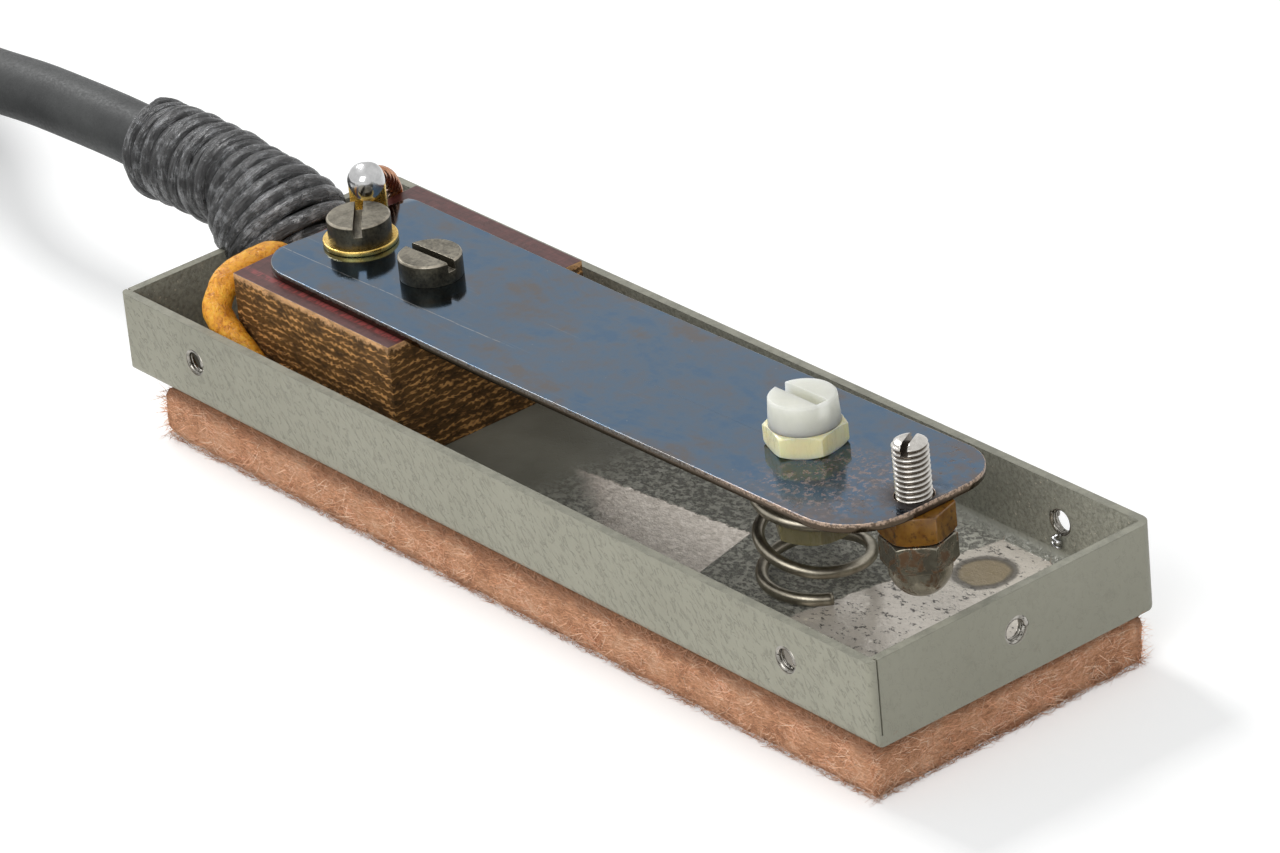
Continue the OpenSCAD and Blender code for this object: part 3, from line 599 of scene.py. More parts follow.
def tray_look():
    look = Look("tray_hammer_paint", Specular_IOR_Level=0.4)
    x, y, z = look.parts()
    facing = look.facing()
    upward = facing[2]
    ragged = look.noise(0.55, 5, 0.7)
    paint, relief = tray_walls(look, facing)
    # The floor's paint: smooth at the rear, mottled in front, and a painted highlight where it curves up to the
    # walls
    inside = upward.step(0.5, 0.9) * z.step(RIM_Z - 3, RIM_Z - 4)
    smooth = look.noise(0.2, 3).ramp((0.3, (0.2, 0.196, 0.158)), (0.7, (0.27, 0.262, 0.214)))
    mottle = look.noise((2, 2.6, 1), 4, 0.65).step(0.4, 0.58)
    mottled = look.mix(mottle, (0.195, 0.191, 0.162), (0.53, 0.52, 0.445))
    rough_paint = (x + ragged * 8).step(-1, 6)
    paint = look.mix(inside, paint, look.mix(rough_paint, smooth, mottled))
    # Painted highlight on the bend where the floor curves up to the walls, for the light that the bend catches
    cove_highlight = upward.step(0.03, 0.2) * z.step(FLOOR_Z + 1.1, FLOOR_Z + 0.7)
    cove_highlight *= abs(y).step(FLOOR_EDGE_Y - 0.35, FLOOR_EDGE_Y - 0.05)
    paint = look.mix(cove_highlight * 0.75, paint, (0.5, 0.5, 0.43))
    # Where it is bare: a torn patch with a straight end, the front end, and the holes
    torn = y + ragged * 1.2 + look.noise(1.9, 4, 0.7) * 0.8
    patch = (torn - (x * 0.11 + PATCH_BORDER_Y)).step(0.25, 0)
    patch *= (x + y * 0.26).step(PATCH_END_X, PATCH_END_X - 0.15)
    patch *= (x + y * 1.66 + ragged * 5).step(-5.4, -1.2)
    front = (x - y * 0.18 + ragged * 1.2).step(BARE_FRONT_X, BARE_FRONT_X + 0.3)
    bare = inside * look.most(patch, front) * abs(y).step(FLOOR_EDGE_Y, FLOOR_EDGE_Y - 0.25)
    metal, specks = tray_metal(look, ragged, front)
    holes = tray_holes(look)
    bare = look.most(bare, holes)
    metal = look.mix(holes, metal, (0.3, 0.28, 0.235))
    look.set(Base_Color=look.mix(bare, paint, metal), Metallic=bare * front.between(0.8, 0.2))
    crumbs = look.most(specks, look.noise((0.7, 0.9, 1), 4, 0.7).step(0.5, 0.62, 0, 0.5))
    polish = inside * front * crumbs.between(1, 0)
    look.set(Roughness=bare.between(0.48, 0.34) - polish * 0.26)
    relief += inside * rough_paint * mottle
    return look.bump(relief * bare.between(1, 0.1), 0.1)


def painted_edge_shade(look, tone):
    """Darkens the upper and lower edges of the felt with painted shade, for the shade under the tray's lip and
    where the felt curves under.
    """
    z = look.parts()[2]
    ragged = z + look.noise(0.5, 3) * 1.2
    # Painted shade: a dark band along the upper and lower edges
    edge = look.most(ragged.step(2, 0.7), ragged.step(3.9, 5.3))
    return look.mix(edge * 0.72, tone, (0.27, 0.112, 0.052))


def felt_look():
    look = Look("wool_felt", Roughness=0.95, Specular_IOR_Level=0.1, Sheen_Weight=0.15, Sheen_Roughness=0.6)
    look.set(Sheen_Tint=(1, 0.8, 0.66))
    clumps = look.noise(0.35, 5, 0.65)
    strands = look.noise((1.6, 1.6, 5.5), 5, 0.7, warp=1.4)
    mixed = clumps * 0.45 + strands * 0.55
    tone = mixed.ramp((0.37, (0.42, 0.17, 0.08)), (0.5, (0.82, 0.4, 0.215)), (0.63, (1, 0.64, 0.42)))
    return look.set(Base_Color=painted_edge_shade(look, tone)).bump(strands + clumps * 0.6, 0.4)


def fibre_look():
    """Loose wool: each fibre holds its own tone in its UV."""
    look = Look("wool_fibres", Roughness=0.9, Specular_IOR_Level=0.15, Sheen_Weight=0.1)
    own = look.parts(look.coordinates["UV"])[0]
    clumps = look.noise(0.3, 4, 0.6)
    mixed = own * 0.7 + clumps * 0.3
    tone = mixed.ramp((0.12, (0.44, 0.18, 0.088)), (0.5, (0.95, 0.5, 0.29)), (0.88, (1, 0.8, 0.6)))
    return look.set(Base_Color=painted_edge_shade(look, tone))


def lever_look():
    look = Look("blued_spring_steel")
    x, y, z = look.parts()
    clouds = look.noise((0.09, 0.15, 0.1), 5, 0.62, warp=1)
    grain = look.noise((0.5, 5, 1), 5, 0.7)
    dirt = look.noise(0.55, 5, 0.7)
    shade = clouds * 0.62 + dirt * 0.38
    blue = shade.ramp(
        (0.4, (0.062, 0.12, 0.198)),
        (0.47, (0.084, 0.131, 0.19)),
        (0.54, (0.1, 0.126, 0.163)),
        (0.62, (0.12, 0.113, 0.114)),
    )
    # Brown blotches and dark specks in front of the knob
    speckle = look.noise(1.3, 5, 0.75)
    worn = x.step(24, 31) * x.step(40, 35) * abs(y + 4).step(7, 3)
    blotch = look.noise(1.7, 5, 0.78).step(0.51, 0.59) * worn
    tone = look.mix(blotch * 0.8, blue, (0.25, 0.175, 0.155))
    tip = (x + clouds * 14).step(34, 47)
    haze = dirt.step(0.42, 0.56) * tip.between(0, 0.6)
    tone = look.mix(haze, tone, (0.135, 0.108, 0.098))
    rust = speckle.step(0.57, 0.66) * tip.between(0.08, 0.9)
    tone = look.mix(rust, tone, (0.075, 0.042, 0.026))
    # A dark stain round the stud
    from_stud = look.distance(x - LEVER_HOLES[3][0], y - LEVER_HOLES[3][1])
    stain = (from_stud + speckle * 2.2).step(4.4, 2.6)
    tone = look.mix(stain * 0.75, tone, (0.035, 0.026, 0.02))
    # Long fine scratches, with one that runs most of the way, and small bright nicks
    scratch = look.noise((0.05, 9, 1), 2, 0.4)
    fine = scratch.step(0.7, 0.73) * look.noise(0.12, 3).step(0.5, 0.62)
    way = x * 0.035 + look.noise(0.2, 2) * 0.3
    beside = abs(y - SCRATCH_Y - way)
    long_line = beside.step(0.07, 0.02) * x.step(-5, -9) * speckle.step(0.36, 0.5)
    nicks = look.noise((1.1, 1.9, 1), 3, 0.8).step(0.725, 0.75)
    light = look.most(fine * 0.16, long_line * 0.5, nicks * speckle)
    tone = look.mix(light, tone, (0.42, 0.4, 0.37))
    # Brown cut sides and a bright worn edge that rusts toward the tip
    slope = math.tan(math.radians(ARM_RISE))
    rise = look.most(x - BEND[0], 0) * slope
    below = rise + (BLOCK_TOP + LEVER_T) - z
    side = look.facing()[2].step(0.5, 0.1)
    tone = look.mix(side, tone, (0.075, 0.055, 0.038))
    rubbed = (below + speckle * 0.5).step(0.66, 0.46)
    bright = look.mix(x.step(18, 30), (0.19, 0.178, 0.163), (0.46, 0.345, 0.265))
    edge = look.most(look.edges(), side * rubbed)
    crumbs = look.noise(4, 3, 0.7)
    tone = look.mix(edge * crumbs.step(0.4, 0.56, 0.15, 1), tone, bright)
    look.set(Base_Color=tone)
    matt = look.most(rust, blotch * 0.25, stain, light * 0.7, edge)
    look.set(Roughness=(grain * 0.3 + matt).step(0.1, 1.2, 0.085, 0.5))
    return look.set(Metallic=look.most(blotch, rust).between(1, 0.4)).bump(grain * 0.18 - rust * 0.5, 0.012)


def laminate_look():
    look = Look("fabric_laminate", Specular_IOR_Level=0.28)
    x, y, z = look.parts()
    top = look.facing()[2].step(0.5, 0.9)
    # Wavy layers of woven cloth, seen on their cut edges
    sway = look.noise((0.5, 0.5, 1.6), 2, 0.5)
    ripple = look.noise((3, 3, 2), 3, 0.6)
    along = (x + y) * 7.6
    wave = look.math("SINE", along + look.noise((0.4, 0.4, 2.6), 2) * 22)
    level = z + sway * 0.8 + wave * 0.09 + ripple * 0.16
    thread = look.math("PINGPONG", level, 0.33).step(0.17, 0.27)
    patch = look.noise((0.55, 0.55, 1.2), 5, 0.7)
    broken = thread * patch.step(0.36, 0.56)
    dark = patch.ramp((0.3, (0.032, 0.016, 0.005)), (0.7, (0.185, 0.09, 0.024)))
    pale = patch.ramp((0.3, (0.28, 0.125, 0.03)), (0.62, (0.74, 0.38, 0.13)))
    cut = look.mix(broken, dark, pale)
    # The upper edge is worn pale
    frayed = z + ripple * 1.5
    edge = frayed.step(BLOCK_TOP + 0.1, BLOCK_TOP + 0.4) * patch.step(0.35, 0.6, 0.4, 1)
    cut = look.mix(edge * 0.9, cut, (0.8, 0.46, 0.22))
    weave = look.noise((3.2, 0.8, 1), 2) * look.noise((0.8, 3.2, 1), 2)
    maroon = weave.ramp((0.12, (0.055, 0.015, 0.013)), (0.42, (0.115, 0.034, 0.03)))
    # Red threads on top beside the lever
    beside = abs(y - (LEVER_LOW[1] - 0.3)).step(0.4, 0.2)
    fringe = beside * look.noise((4, 1.2, 1), 2).step(0.4, 0.56)
    maroon = look.mix(fringe * 0.8, maroon, (0.26, 0.05, 0.048))
    look.set(Base_Color=look.mix(top, cut, maroon), Roughness=top.between(0.62, 0.3))
    relief = broken + patch * 0.8
    return look.bump(relief * top.between(1, 0.1), 0.1)


def metal_look(name, dark, light, rough, speck=(0.03, 0.027, 0.022), wear=0.55, relief=0.02):
    """Aged metal: cloudy tone, dark specks in it and fine relief."""
    look = Look(name, Metallic=1)
    clouds = look.noise(0.9, 5, 0.65)
    fine = look.noise(5, 4, 0.7)
    tone = clouds.ramp((0.32, dark), (0.66, light))
    specks = look.noise(2.4, 4, 0.75).step(wear, wear + 0.1)
    look.set(Base_Color=look.mix(specks, tone, speck))
    look.set(Roughness=(fine + specks).step(0.3, 1.4, rough * 0.75, min(1, rough * 1.7)))
    return look.bump(fine - specks, relief)


def screw_look():
    """Oxidised screw steel: fine grain, darker on its sides, with light worn edges."""
    look = Look("oxidised_steel", Metallic=0.8)
    clouds = look.noise(0.7, 4, 0.6)
    fine = look.noise(3.6, 5, 0.75)
    mixed = clouds * 0.45 + fine * 0.55
    upper = mixed.ramp((0.4, (0.066, 0.058, 0.042)), (0.6, (0.215, 0.195, 0.152)))
    lower = mixed.ramp((0.4, (0.028, 0.024, 0.016)), (0.6, (0.086, 0.076, 0.052)))
    tone = look.mix(look.facing()[2].step(0.3, 0.8), lower, upper)
    worn = look.edges() * clouds.step(0.35, 0.6, 0.25, 0.9)
    tone = look.mix(worn, tone, (0.4, 0.36, 0.29))
    return look.set(Base_Color=tone, Roughness=fine.step(0.3, 0.7, 0.34, 0.55)).bump(fine, 0.02)


def nylon_look(name, low, high, radius_tone, rough, depth):
    look = Look(name, Subsurface_Weight=0.9, Subsurface_Scale=depth * MM, Specular_IOR_Level=0.4)
    look.set(Subsurface_Radius=radius_tone)
    clouds = look.noise(0.5, 4)
    look.set(Base_Color=clouds.ramp((0.3, low), (0.7, high)))
    scuffs = look.noise((3, 3, 0.8), 4, 0.65)
    return look.set(Roughness=scuffs.step(0.35, 0.7, rough * 0.8, rough * 1.5)).bump(scuffs, 0.025)


def amber_look():
    look = Look("amber_plastic", Transmission_Weight=0.35, IOR=1.5, Subsurface_Weight=0.4, Subsurface_Scale=MM)
    look.set(Subsurface_Radius=(1, 0.45, 0.1))
    clouds = look.noise(0.8, 4, 0.6)
    stain = look.noise(1.4, 4, 0.7).step(0.5, 0.66)
    tone = clouds.ramp((0.3, (0.18, 0.072, 0.008)), (0.7, (0.38, 0.178, 0.022)))
    look.set(Base_Color=look.mix(stain * 0.7, tone, (0.05, 0.024, 0.009)))
    return look.set(Roughness=clouds.step(0.3, 0.7, 0.1, 0.22)).bump(clouds, 0.03)


def rusty_nickel_look():
    look = Look("stained_nickel", Metallic=0.7)
    clouds = look.noise(0.6, 4, 0.6)
    rust = look.noise(0.75, 5, 0.7, warp=0.8).step(0.48, 0.6)
    nickel = clouds.ramp((0.3, (0.21, 0.195, 0.15)), (0.7, (0.46, 0.43, 0.345)))
    hexagon = look.parts()[2].step(DOME_FLATS_Z, DOME_FLATS_Z + 0.4, 0, 0.6)
    nickel = look.mix(hexagon * clouds.step(0.35, 0.55), nickel, (0.055, 0.045, 0.03))
    look.set(Base_Color=look.mix(rust * 0.85, nickel, (0.15, 0.075, 0.032)), Roughness=rust.between(0.2, 0.5))
    return look.bump(rust + clouds * 0.4, 0.012)


def thread_look():
    """Bright screw thread, dark in its grooves with dirt and painted shade: UV holds how near the crest a point
    is.
    """
    look = Look("bright_thread", Metallic=1)
    crest = look.parts(look.coordinates["UV"])[0]
    clouds = look.noise(0.9, 5, 0.65)
    fine = look.noise(5, 4, 0.7)
    bright = clouds.ramp((0.32, (0.42, 0.4, 0.37)), (0.66, (0.64, 0.62, 0.58)))
    # Dark grooves: dirt and painted shade
    look.set(Base_Color=look.mix(crest.step(0.25, 0.8), (0.1, 0.082, 0.064), bright))
    return look.set(Roughness=fine.step(0.3, 0.8, 0.2, 0.42)).bump(fine, 0.01)


def sheath_look():
    look = Look("cable_rubber", Specular_IOR_Level=0.25)
    clouds = look.noise(0.25, 5, 0.65)
    look.set(Base_Color=clouds.ramp((0.3, (0.036, 0.037, 0.037)), (0.7, (0.062, 0.064, 0.063))))
    dust = look.noise(3.5, 4, 0.7)
    return look.set(Roughness=dust.step(0.3, 0.7, 0.45, 0.65)).bump(dust + clouds, 0.02)


def cord_look():
    look = Look("waxed_cord", Specular_IOR_Level=0.9)
    uv = look.coordinates["UV"]
    along, turn = look.parts(uv)[:2]
    # Twisted yarns: bands that run slantwise round the cord
    slant = along * 0.45 + turn * 3
    yarn = look.math("PINGPONG", slant, 0.5)
    streaks = look.noise((0.8, 22, 1), 5, 0.75, uv, 0.6)
    wax = look.noise(0.8, 5, 0.72)
    # Near-black cord whose pale streaks are partly wax and partly painted glints
    shade = streaks * 0.5 + wax * 0.5
    tone = shade.ramp((0.41, (0.005, 0.005, 0.0055)), (0.5, (0.016, 0.0164, 0.017)), (0.6, (0.26, 0.264, 0.27)))
    look.set(Base_Color=tone, Roughness=wax.step(0.3, 0.7, 0.4, 0.17))
    return look.bump(yarn * 0.9 + streaks * 1.6, 0.17)


def sleeve_look():
    look = Look("orange_sleeve", Subsurface_Weight=0.35, Subsurface_Scale=0.8 * MM, Specular_IOR_Level=0.4)
    look.set(Subsurface_Radius=(1, 0.5, 0.15))
    clouds = look.noise(0.9, 4, 0.6)
    crackle = look.noise(2.1, 4, 0.65, warp=1)
    mixed = clouds * 0.4 + crackle * 0.6
    tone = mixed.ramp((0.38, (0.52, 0.17, 0.006)), (0.51, (0.88, 0.39, 0.026)), (0.66, (0.97, 0.55, 0.07)))
    return look.set(Base_Color=tone, Roughness=crackle.step(0.3, 0.7, 0.24, 0.5)).bump(crackle, 0.24)


def plastic_look(name, dark, light, rough):
    look = Look(name, Specular_IOR_Level=0.5)
    clouds = look.noise(0.2, 4)
    fine = look.noise(6, 4, 0.7)
    look.set(Base_Color=clouds.ramp((0.3, dark), (0.7, light)))
    return look.set(Roughness=fine.step(0.3, 0.7, rough * 0.8, rough * 1.3)).bump(fine, 0.02)


LOOKS = {
    "tray_paint": tray_look(),
    "felt": felt_look(),
    "fibres": fibre_look(),
    "blued_steel": lever_look(),
    "laminate": laminate_look(),
    "screw_steel": screw_look(),
    "tag_brass": metal_look("brass", (0.56, 0.37, 0.09), (0.80, 0.58, 0.20), 0.34, (0.24, 0.14, 0.04), 0.70),
    "solder": metal_look(
        "solder", (0.42, 0.42, 0.42), (0.56, 0.56, 0.56), 0.22, (0.24, 0.23, 0.22), 0.74, 0.003
    ),
    "copper": metal_look(
        "copper_strands", (0.30, 0.125, 0.06), (0.58, 0.30, 0.17), 0.30, (0.10, 0.05, 0.03), 0.6
    ),
    "wire_sleeve": sleeve_look(),
    "white_nylon": nylon_look(
        "white_nylon", (0.61, 0.61, 0.525), (0.685, 0.68, 0.585), (1, 1, 0.9), 0.38, 5
    ),
    "yellowed_nylon": nylon_look(
        "yellowed_nylon", (0.92, 0.77, 0.44), (0.97, 0.85, 0.53), (1, 0.8, 0.4), 0.3, 1.4
    ),
    # The spacer's nylon: the yellowed nylon darkened with painted shade, for its place in the lever's shadow
    "painted_shade_nylon": nylon_look(
        "painted_shade_nylon", (0.165, 0.145, 0.075), (0.225, 0.20, 0.115), (1, 0.85, 0.45), 0.3, 1.4
    ),
    "amber_plastic": amber_look(),
    "spring_steel": metal_look(
        "nickelled_wire", (0.26, 0.235, 0.185), (0.42, 0.385, 0.31), 0.42, (0.12, 0.09, 0.055), 0.64, 0.004
    ),
    "stud_steel": thread_look(),
    "hole_thread": metal_look("hole_thread", (0.16, 0.15, 0.13), (0.46, 0.44, 0.40), 0.24, relief=0.01),
    "stained_nickel": rusty_nickel_look(),
    "cable_sheath": sheath_look(),
    "whipping_cord": cord_look(),
    "plug_plastic": plastic_look("black_plastic", (0.014, 0.014, 0.015), (0.028, 0.028, 0.029), 0.42),
    "plug_metal": metal_look(
        "plug_nickel", (0.52, 0.51, 0.48), (0.70, 0.69, 0.66), 0.16, (0.20, 0.18, 0.15), 0.68
    ),
}


# The cable, its whipping and its plug


def coil_point(angle):
    """Point of the coil at an angle in degrees: in on the upper layer, down, and out on the lower."""
    layer = 360.0 * COIL_LAYER_TURNS
    climb = max(0.0, min(1.0, (angle - layer) / COIL_CLIMB))
    inward = min(angle, layer) / 360
    outward = max(0.0, angle - layer - COIL_CLIMB) / 360
    r = COIL_OUTER_R - COIL_STEP * (inward - outward) - COIL_DIP * math.sin(math.pi * climb)
    a = math.radians(90.0 + angle)
    z = COIL_LOW_Z + COIL_STEP * (1 - ease(climb))
    return vec(COIL_CENTRE_X + r * math.cos(a), COIL_CENTRE_Y + r * math.sin(a), z)


def lead_point(t):
    """Point of the lead after a share t of its way aside and round to the coil."""
    part = 2 * t * (1 - math.radians(COIL_HALF_STEP) / (2 * LEAD_TURN))
    left = 2 * t**3 - 3 * t**2 + 1 - LEAD_SLOPE * (t**3 - 2 * t**2 + t)
    if part < 1:
        turn = part * LEAD_TURN
        p = vec(LEAD_TURN_X - LEAD_TURN_R * math.sin(turn), CABLE_Y + LEAD_TURN_R * (1 - math.cos(turn)), 0)
    else:
        p = coil_point(math.degrees(LEAD_TURN) * (part - 2))
    p.z = COIL_HIGH_Z + (LEAD_HIGH_Z - COIL_HIGH_Z) * left
    return p


def cable_points():
    h = COIL_HALF_STEP
    lead = [vec(REAR_X + x, CABLE_Y, CABLE_Z + z) for x, z in LEAD_AT_KEY]
    lead += [lead_point((i + 1) / LEAD_POINTS) for i in range(LEAD_POINTS)]
    turns = [coil_point(h * k) for k in range(2, round(COIL_TOTAL / h) - 1)]
    start = (coil_point(COIL_TOTAL - h) + coil_point(COIL_TOTAL + h)) / 2
    rise = vec(0, TAIL_SWING, PLUG_AXIS_Z - COIL_LOW_Z)
    tail = [coil_point(COIL_TOTAL - h)]
    for i in range(1, TAIL_STEPS + 1):
        tail.append(start + vec(TAIL_L * i / TAIL_STEPS, 0, 0) + rise * ease((i - 1) / (TAIL_STEPS - 2)))
    return smooth_line(lead + [coil_point(h)], 4) + turns + smooth_line(tail, 4)


def make_cable():
    points = cable_points()
    curve = bpy.data.curves.new("cable_sheath", "CURVE")
    curve.dimensions = "3D"
    curve.bevel_depth = CABLE_D / 2 * MM
    curve.bevel_resolution = 8
    curve.use_fill_caps = True
    spline = curve.splines.new("POLY")
    spline.points.add(len(points) - 1)
    for point, p in zip(spline.points, points):
        point.co = (*(p * MM), 1.0)
    spline.use_smooth = True
    cable = piece("cable_sheath", curve, "cable_sheath", "base", ["cable", "cable_coil", "cable_tail"])
    return cable, points[0] * MM, length_of(points) * MM


def whip_axis(s):
    """Point of the cable's middle at a distance along the wound stretch, and the way up from it."""
    if s <= WHIP_STRAIGHT_L:
        return vec(WHIP_START_X + s, CABLE_Y, CABLE_Z), UP
    angle = (s - WHIP_STRAIGHT_L) / WHIP_BEND_R
    x = WHIP_BEND_X + WHIP_BEND_R * math.sin(angle)
    z = CABLE_Z - WHIP_BEND_R * (1 - math.cos(angle))
    return vec(x, CABLE_Y, z), vec(math.sin(angle), 0, math.cos(angle))


def whip_line(pace, first, lift, seed, way=1):
    """A cord wound round the cable, loose on the bend. Pace is (turns, distance along it) at a few points."""
    turns = pace[-1][0]
    count = round(turns * WHIP_TURN_POINTS)
    line = []
    for i in range(count + 1):
        t = i / WHIP_TURN_POINTS
        s = first + lookup(turns * i / count, pace)
        fan = max(0.0, s - WHIP_STRAIGHT_L) / WHIP_BEND_L
        sway = noise.noise(vec(t * 0.9, 3.7 + seed, 0.2))
        loose = noise.noise(vec(t * 1.6, 9.1 + seed, 5.5))
        a = 2 * math.pi * t * way
        flare = WHIP_FLARE * min(1.0, fan) ** 1.6 * (1 - 0.7 * ease((fan - 1) / 0.3))
        r = CABLE_D / 2 + WHIP_CORD_D / 2 + lift + flare + WHIP_LOOSE * loose
        low_near = max(0.0, math.cos(a - math.radians(WHIP_SAG_ANGLE)))
        r += WHIP_SAG * ease(fan * 2.6) * (1 - 0.6 * ease(fan)) * low_near**2
        centre, up = whip_axis(max(0.0, s + WHIP_SWAY * sway))
        line.append(centre + r * (math.cos(a) * up + math.sin(a) * vec(0, 1, 0)))
    return line


def make_whipping():
    """The close turns with the loose ones on the bend, and two layers that cross the close turns."""
    fan_end = WHIP_STRAIGHT_TURNS + WHIP_FAN_TURNS
    turns = fan_end + WHIP_INNER_TURNS
    bend_end = WHIP_STRAIGHT_L + WHIP_BEND_L
    inner_end = bend_end + WHIP_INNER_L
    pace = ((0, 0), (WHIP_STRAIGHT_TURNS, WHIP_STRAIGHT_L), (fan_end, bend_end), (turns, inner_end))
    lines = [whip_line(pace, 0.0, 0.0, 0.0)]
    for upper_turns, first, short, lift, seed, way in WHIP_LAYERS:
        lines.append(whip_line(((0, 0), (upper_turns, WHIP_STRAIGHT_L - short)), first, lift, seed, way))
    lengths = [length_of(line) for line in lines]

    def radius(n, along, angle):
        thick = WHIP_CORD_D
        if n == 0:
            thick += (WHIP_FAN_CORD_D - WHIP_CORD_D) * ease((along / lengths[0] - WHIP_FAN_AT) / 0.1)
        ends = min(1.0, 0.35 + 0.9 * min(along, lengths[n] - along))
        uneven = noise.noise(vec(along * 0.5 + n * 30, math.cos(angle), math.sin(angle)))
        return thick / 2 * ends * (1 + WHIP_UNEVEN * uneven)

    mesh = tube_mesh(lines, radius)
    return piece("whipping_cord", mesh, "whipping_cord", "base", ["cable_whipping"])


cable, cable_exit, cable_length = make_cable()
whipping = make_whipping()
tie = dress("coil_tie", "whipping_cord", 0.15)
plug = [
    dress("plug_grip", "plug_plastic", 0.35, 3, 12),
    dress("plug_sleeve", "plug_metal", 0.12),
    dress("plug_insulator", "plug_plastic", 0.05),
    dress("plug_tip", "plug_metal", 0.3, 3, 12),
]


# The tray and its felt


dress("base_tray", "tray_paint", 0.08)
dress("lever_block", "laminate", 0.14)
dress("block_fixing_screws", "screw_steel", 0.1)


def make_felt():
    low, high = (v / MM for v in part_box("felt_pad"))
    bm = bmesh.new()
    bmesh.ops.create_cube(bm, size=1.0)
    for v in bm.verts:
        v.co = Vector(low[i] + (v.co[i] + 0.5) * (high[i] - low[i]) for i in range(3))
    for axis, pitch in enumerate(FELT_PITCH):
        count = round((high[axis] - low[axis]) / pitch)
        for k in range(1, count):
            cut_across(bm, axis, low[axis] + (high[axis] - low[axis]) * k / count)
    middle = (low + high) / 2
    half = (high - low) / 2
    for v in bm.verts:
        p = v.co.copy()
        height = (p.z - low.z) / (high.z - low.z)
        swell = FELT_BULGE * math.sin(math.pi * height)
        swell += sum(tall * noise.noise(p * waves) for tall, waves in FELT_WAVES)
        pinch = FELT_LOW_PINCH * max(0.0, 1 - height * 5) ** 2
        pinch += FELT_HIGH_PINCH * max(0.0, 1 - (1 - height) * 6) ** 2
        for i in range(2):
            if abs(p[i] - middle[i]) / half[i] > 0.999:
                v.co[i] += math.copysign(1, p[i] - middle[i]) * (swell - pinch - FELT_INSET)
        v.co *= MM
    felt = piece("felt_cut", mesh_of(bm), "felt", "base", ["felt_pad"])
    return felt, low, high


def make_fibres(low, high):
    """Loose wool fibres on the cut sides of the felt, as thin ribbons."""
    random.seed(11)
    bm = bmesh.new()
    uv = bm.loops.layers.uv.new("UVMap")
    length = (high.x - low.x, high.y - low.y)
    for _ in range(FIBRE_COUNT):
        way = random.random() * 2 * (length[0] + length[1])
        z = low.z + 0.1 + (high.z - low.z - 0.3) * random.random()
        if way < 2 * length[0]:
            sign = -1 if way < length[0] else 1
            p = vec(low.x + way % length[0], low.y if sign < 0 else high.y, z)
            out, along = vec(0, sign, 0), vec(1, 0, 0)
        else:
            way -= 2 * length[0]
            sign = -1 if way < length[1] else 1
            p = vec(low.x if sign < 0 else high.x, low.y + way % length[1], z)
            out, along = vec(sign, 0, 0), vec(0, 1, 0)
        p -= out * FIBRE_ROOT
        slope = random.gauss(0, 0.8)
        heading = (along * random.choice((-1, 1)) * math.cos(slope) + UP * math.sin(slope)).normalized()
        heading = (heading + out * random.uniform(-0.05, 0.35)).normalized()
        curl = out * random.uniform(-0.5, 0.25) + UP * random.uniform(-0.5, 0.35)
        reach = random.uniform(*FIBRE_REACH)
        width = random.uniform(*FIBRE_WIDTH)
        own = random.random()
        across = heading.cross(out).normalized() * width
        rows = []
        for k in range(FIBRE_STEPS + 1):
            spread = across * (1 - 0.7 * k / FIBRE_STEPS)
            q = vec(p.x, p.y, max(p.z, low.z + 0.06))
            rows.append((bm.verts.new((q - spread) * MM), bm.verts.new((q + spread) * MM)))
            heading = (heading + curl * (0.8 / FIBRE_STEPS)).normalized()
            p = p + heading * reach / FIBRE_STEPS
        for a, b in zip(rows, rows[1:]):
            for loop in bm.faces.new((a[0], a[1], b[1], b[0])).loops:
                loop[uv].uv = (own, 0.5)
    return piece("felt_fibres", mesh_of(bm), "felt", look="fibres")


felt, felt_low, felt_high = make_felt()
make_fibres(felt_low, felt_high)


def helix(turns, count=60):
    """Shares of the way from 0 to 1, each with its angle on a helix of that many turns."""
    return [(i / count, 2 * math.pi * turns * i / count) for i in range(count + 1)]


def make_hole_threads():
    """The cut thread in each wall hole."""
    start, depth, crest_r, wire_r = 0.12, 0.58, HOLE_D / 2 - 0.02, 0.24
    places = [(vec(sx * HOLE_X, sy * FAR_Y, HOLE_Z), vec(0, -sy, 0)) for sx in (-1, 1) for sy in (-1, 1)]
    places.append((vec(FRONT_X, 0, HOLE_Z), vec(-1, 0, 0)))
    lines = []
    for place, inward in places:
        side = inward.cross(UP).normalized()
        lines.append([
            place + inward * (start + depth * t) + crest_r * (math.cos(a) * side + math.sin(a) * UP)
            for t, a in helix(2.1)
        ])
    mesh = tube_mesh(lines, wire_r, 8)
    return piece("wall_hole_threads", mesh, "stud_steel", look="hole_thread")


def make_burr():
    """A curl of metal that hangs from the far front hole inside the tray."""
    drop, curl_r, curl_swell, off_wall = 1.25, 0.22, 0.16, 0.28
    top = vec(HOLE_X - 0.1, FAR_Y - SHEET_T - 0.15, HOLE_Z - HOLE_D / 2 + 0.1)
    line = []
    for t, a in helix(2.4):
        r = curl_r + curl_swell * math.sin(math.pi * t)
        line.append(top + vec(r * math.cos(a), curl_r * math.sin(a) - off_wall, -drop * t))
    mesh = tube_mesh([line], lambda n, along, angle: 0.11 + 0.07 * abs(math.cos(angle)), 8)
    return piece("hole_burr", mesh, "solder")


make_hole_threads()
make_burr()


# The lever and what is on it


def rounded_outline(low, high, radii, steps=10):
    """Points round a rectangle, with radii in the order rear near, rear far, front near, front far."""
    corners = (
        (low[0], low[1], radii[0], 180), (high[0], low[1], radii[2], 270),
        (high[0], high[1], radii[3], 0), (low[0], high[1], radii[1], 90),
    )
    points = []
    for x, y, r, start in corners:
        cx = x + r if x == low[0] else x - r
        cy = y + r if y == low[1] else y - r
        for k in range(steps + 1):
            a = math.radians(start + 90 * k / steps)
            points.append((cx + r * math.cos(a), cy + r * math.sin(a)))
    return points


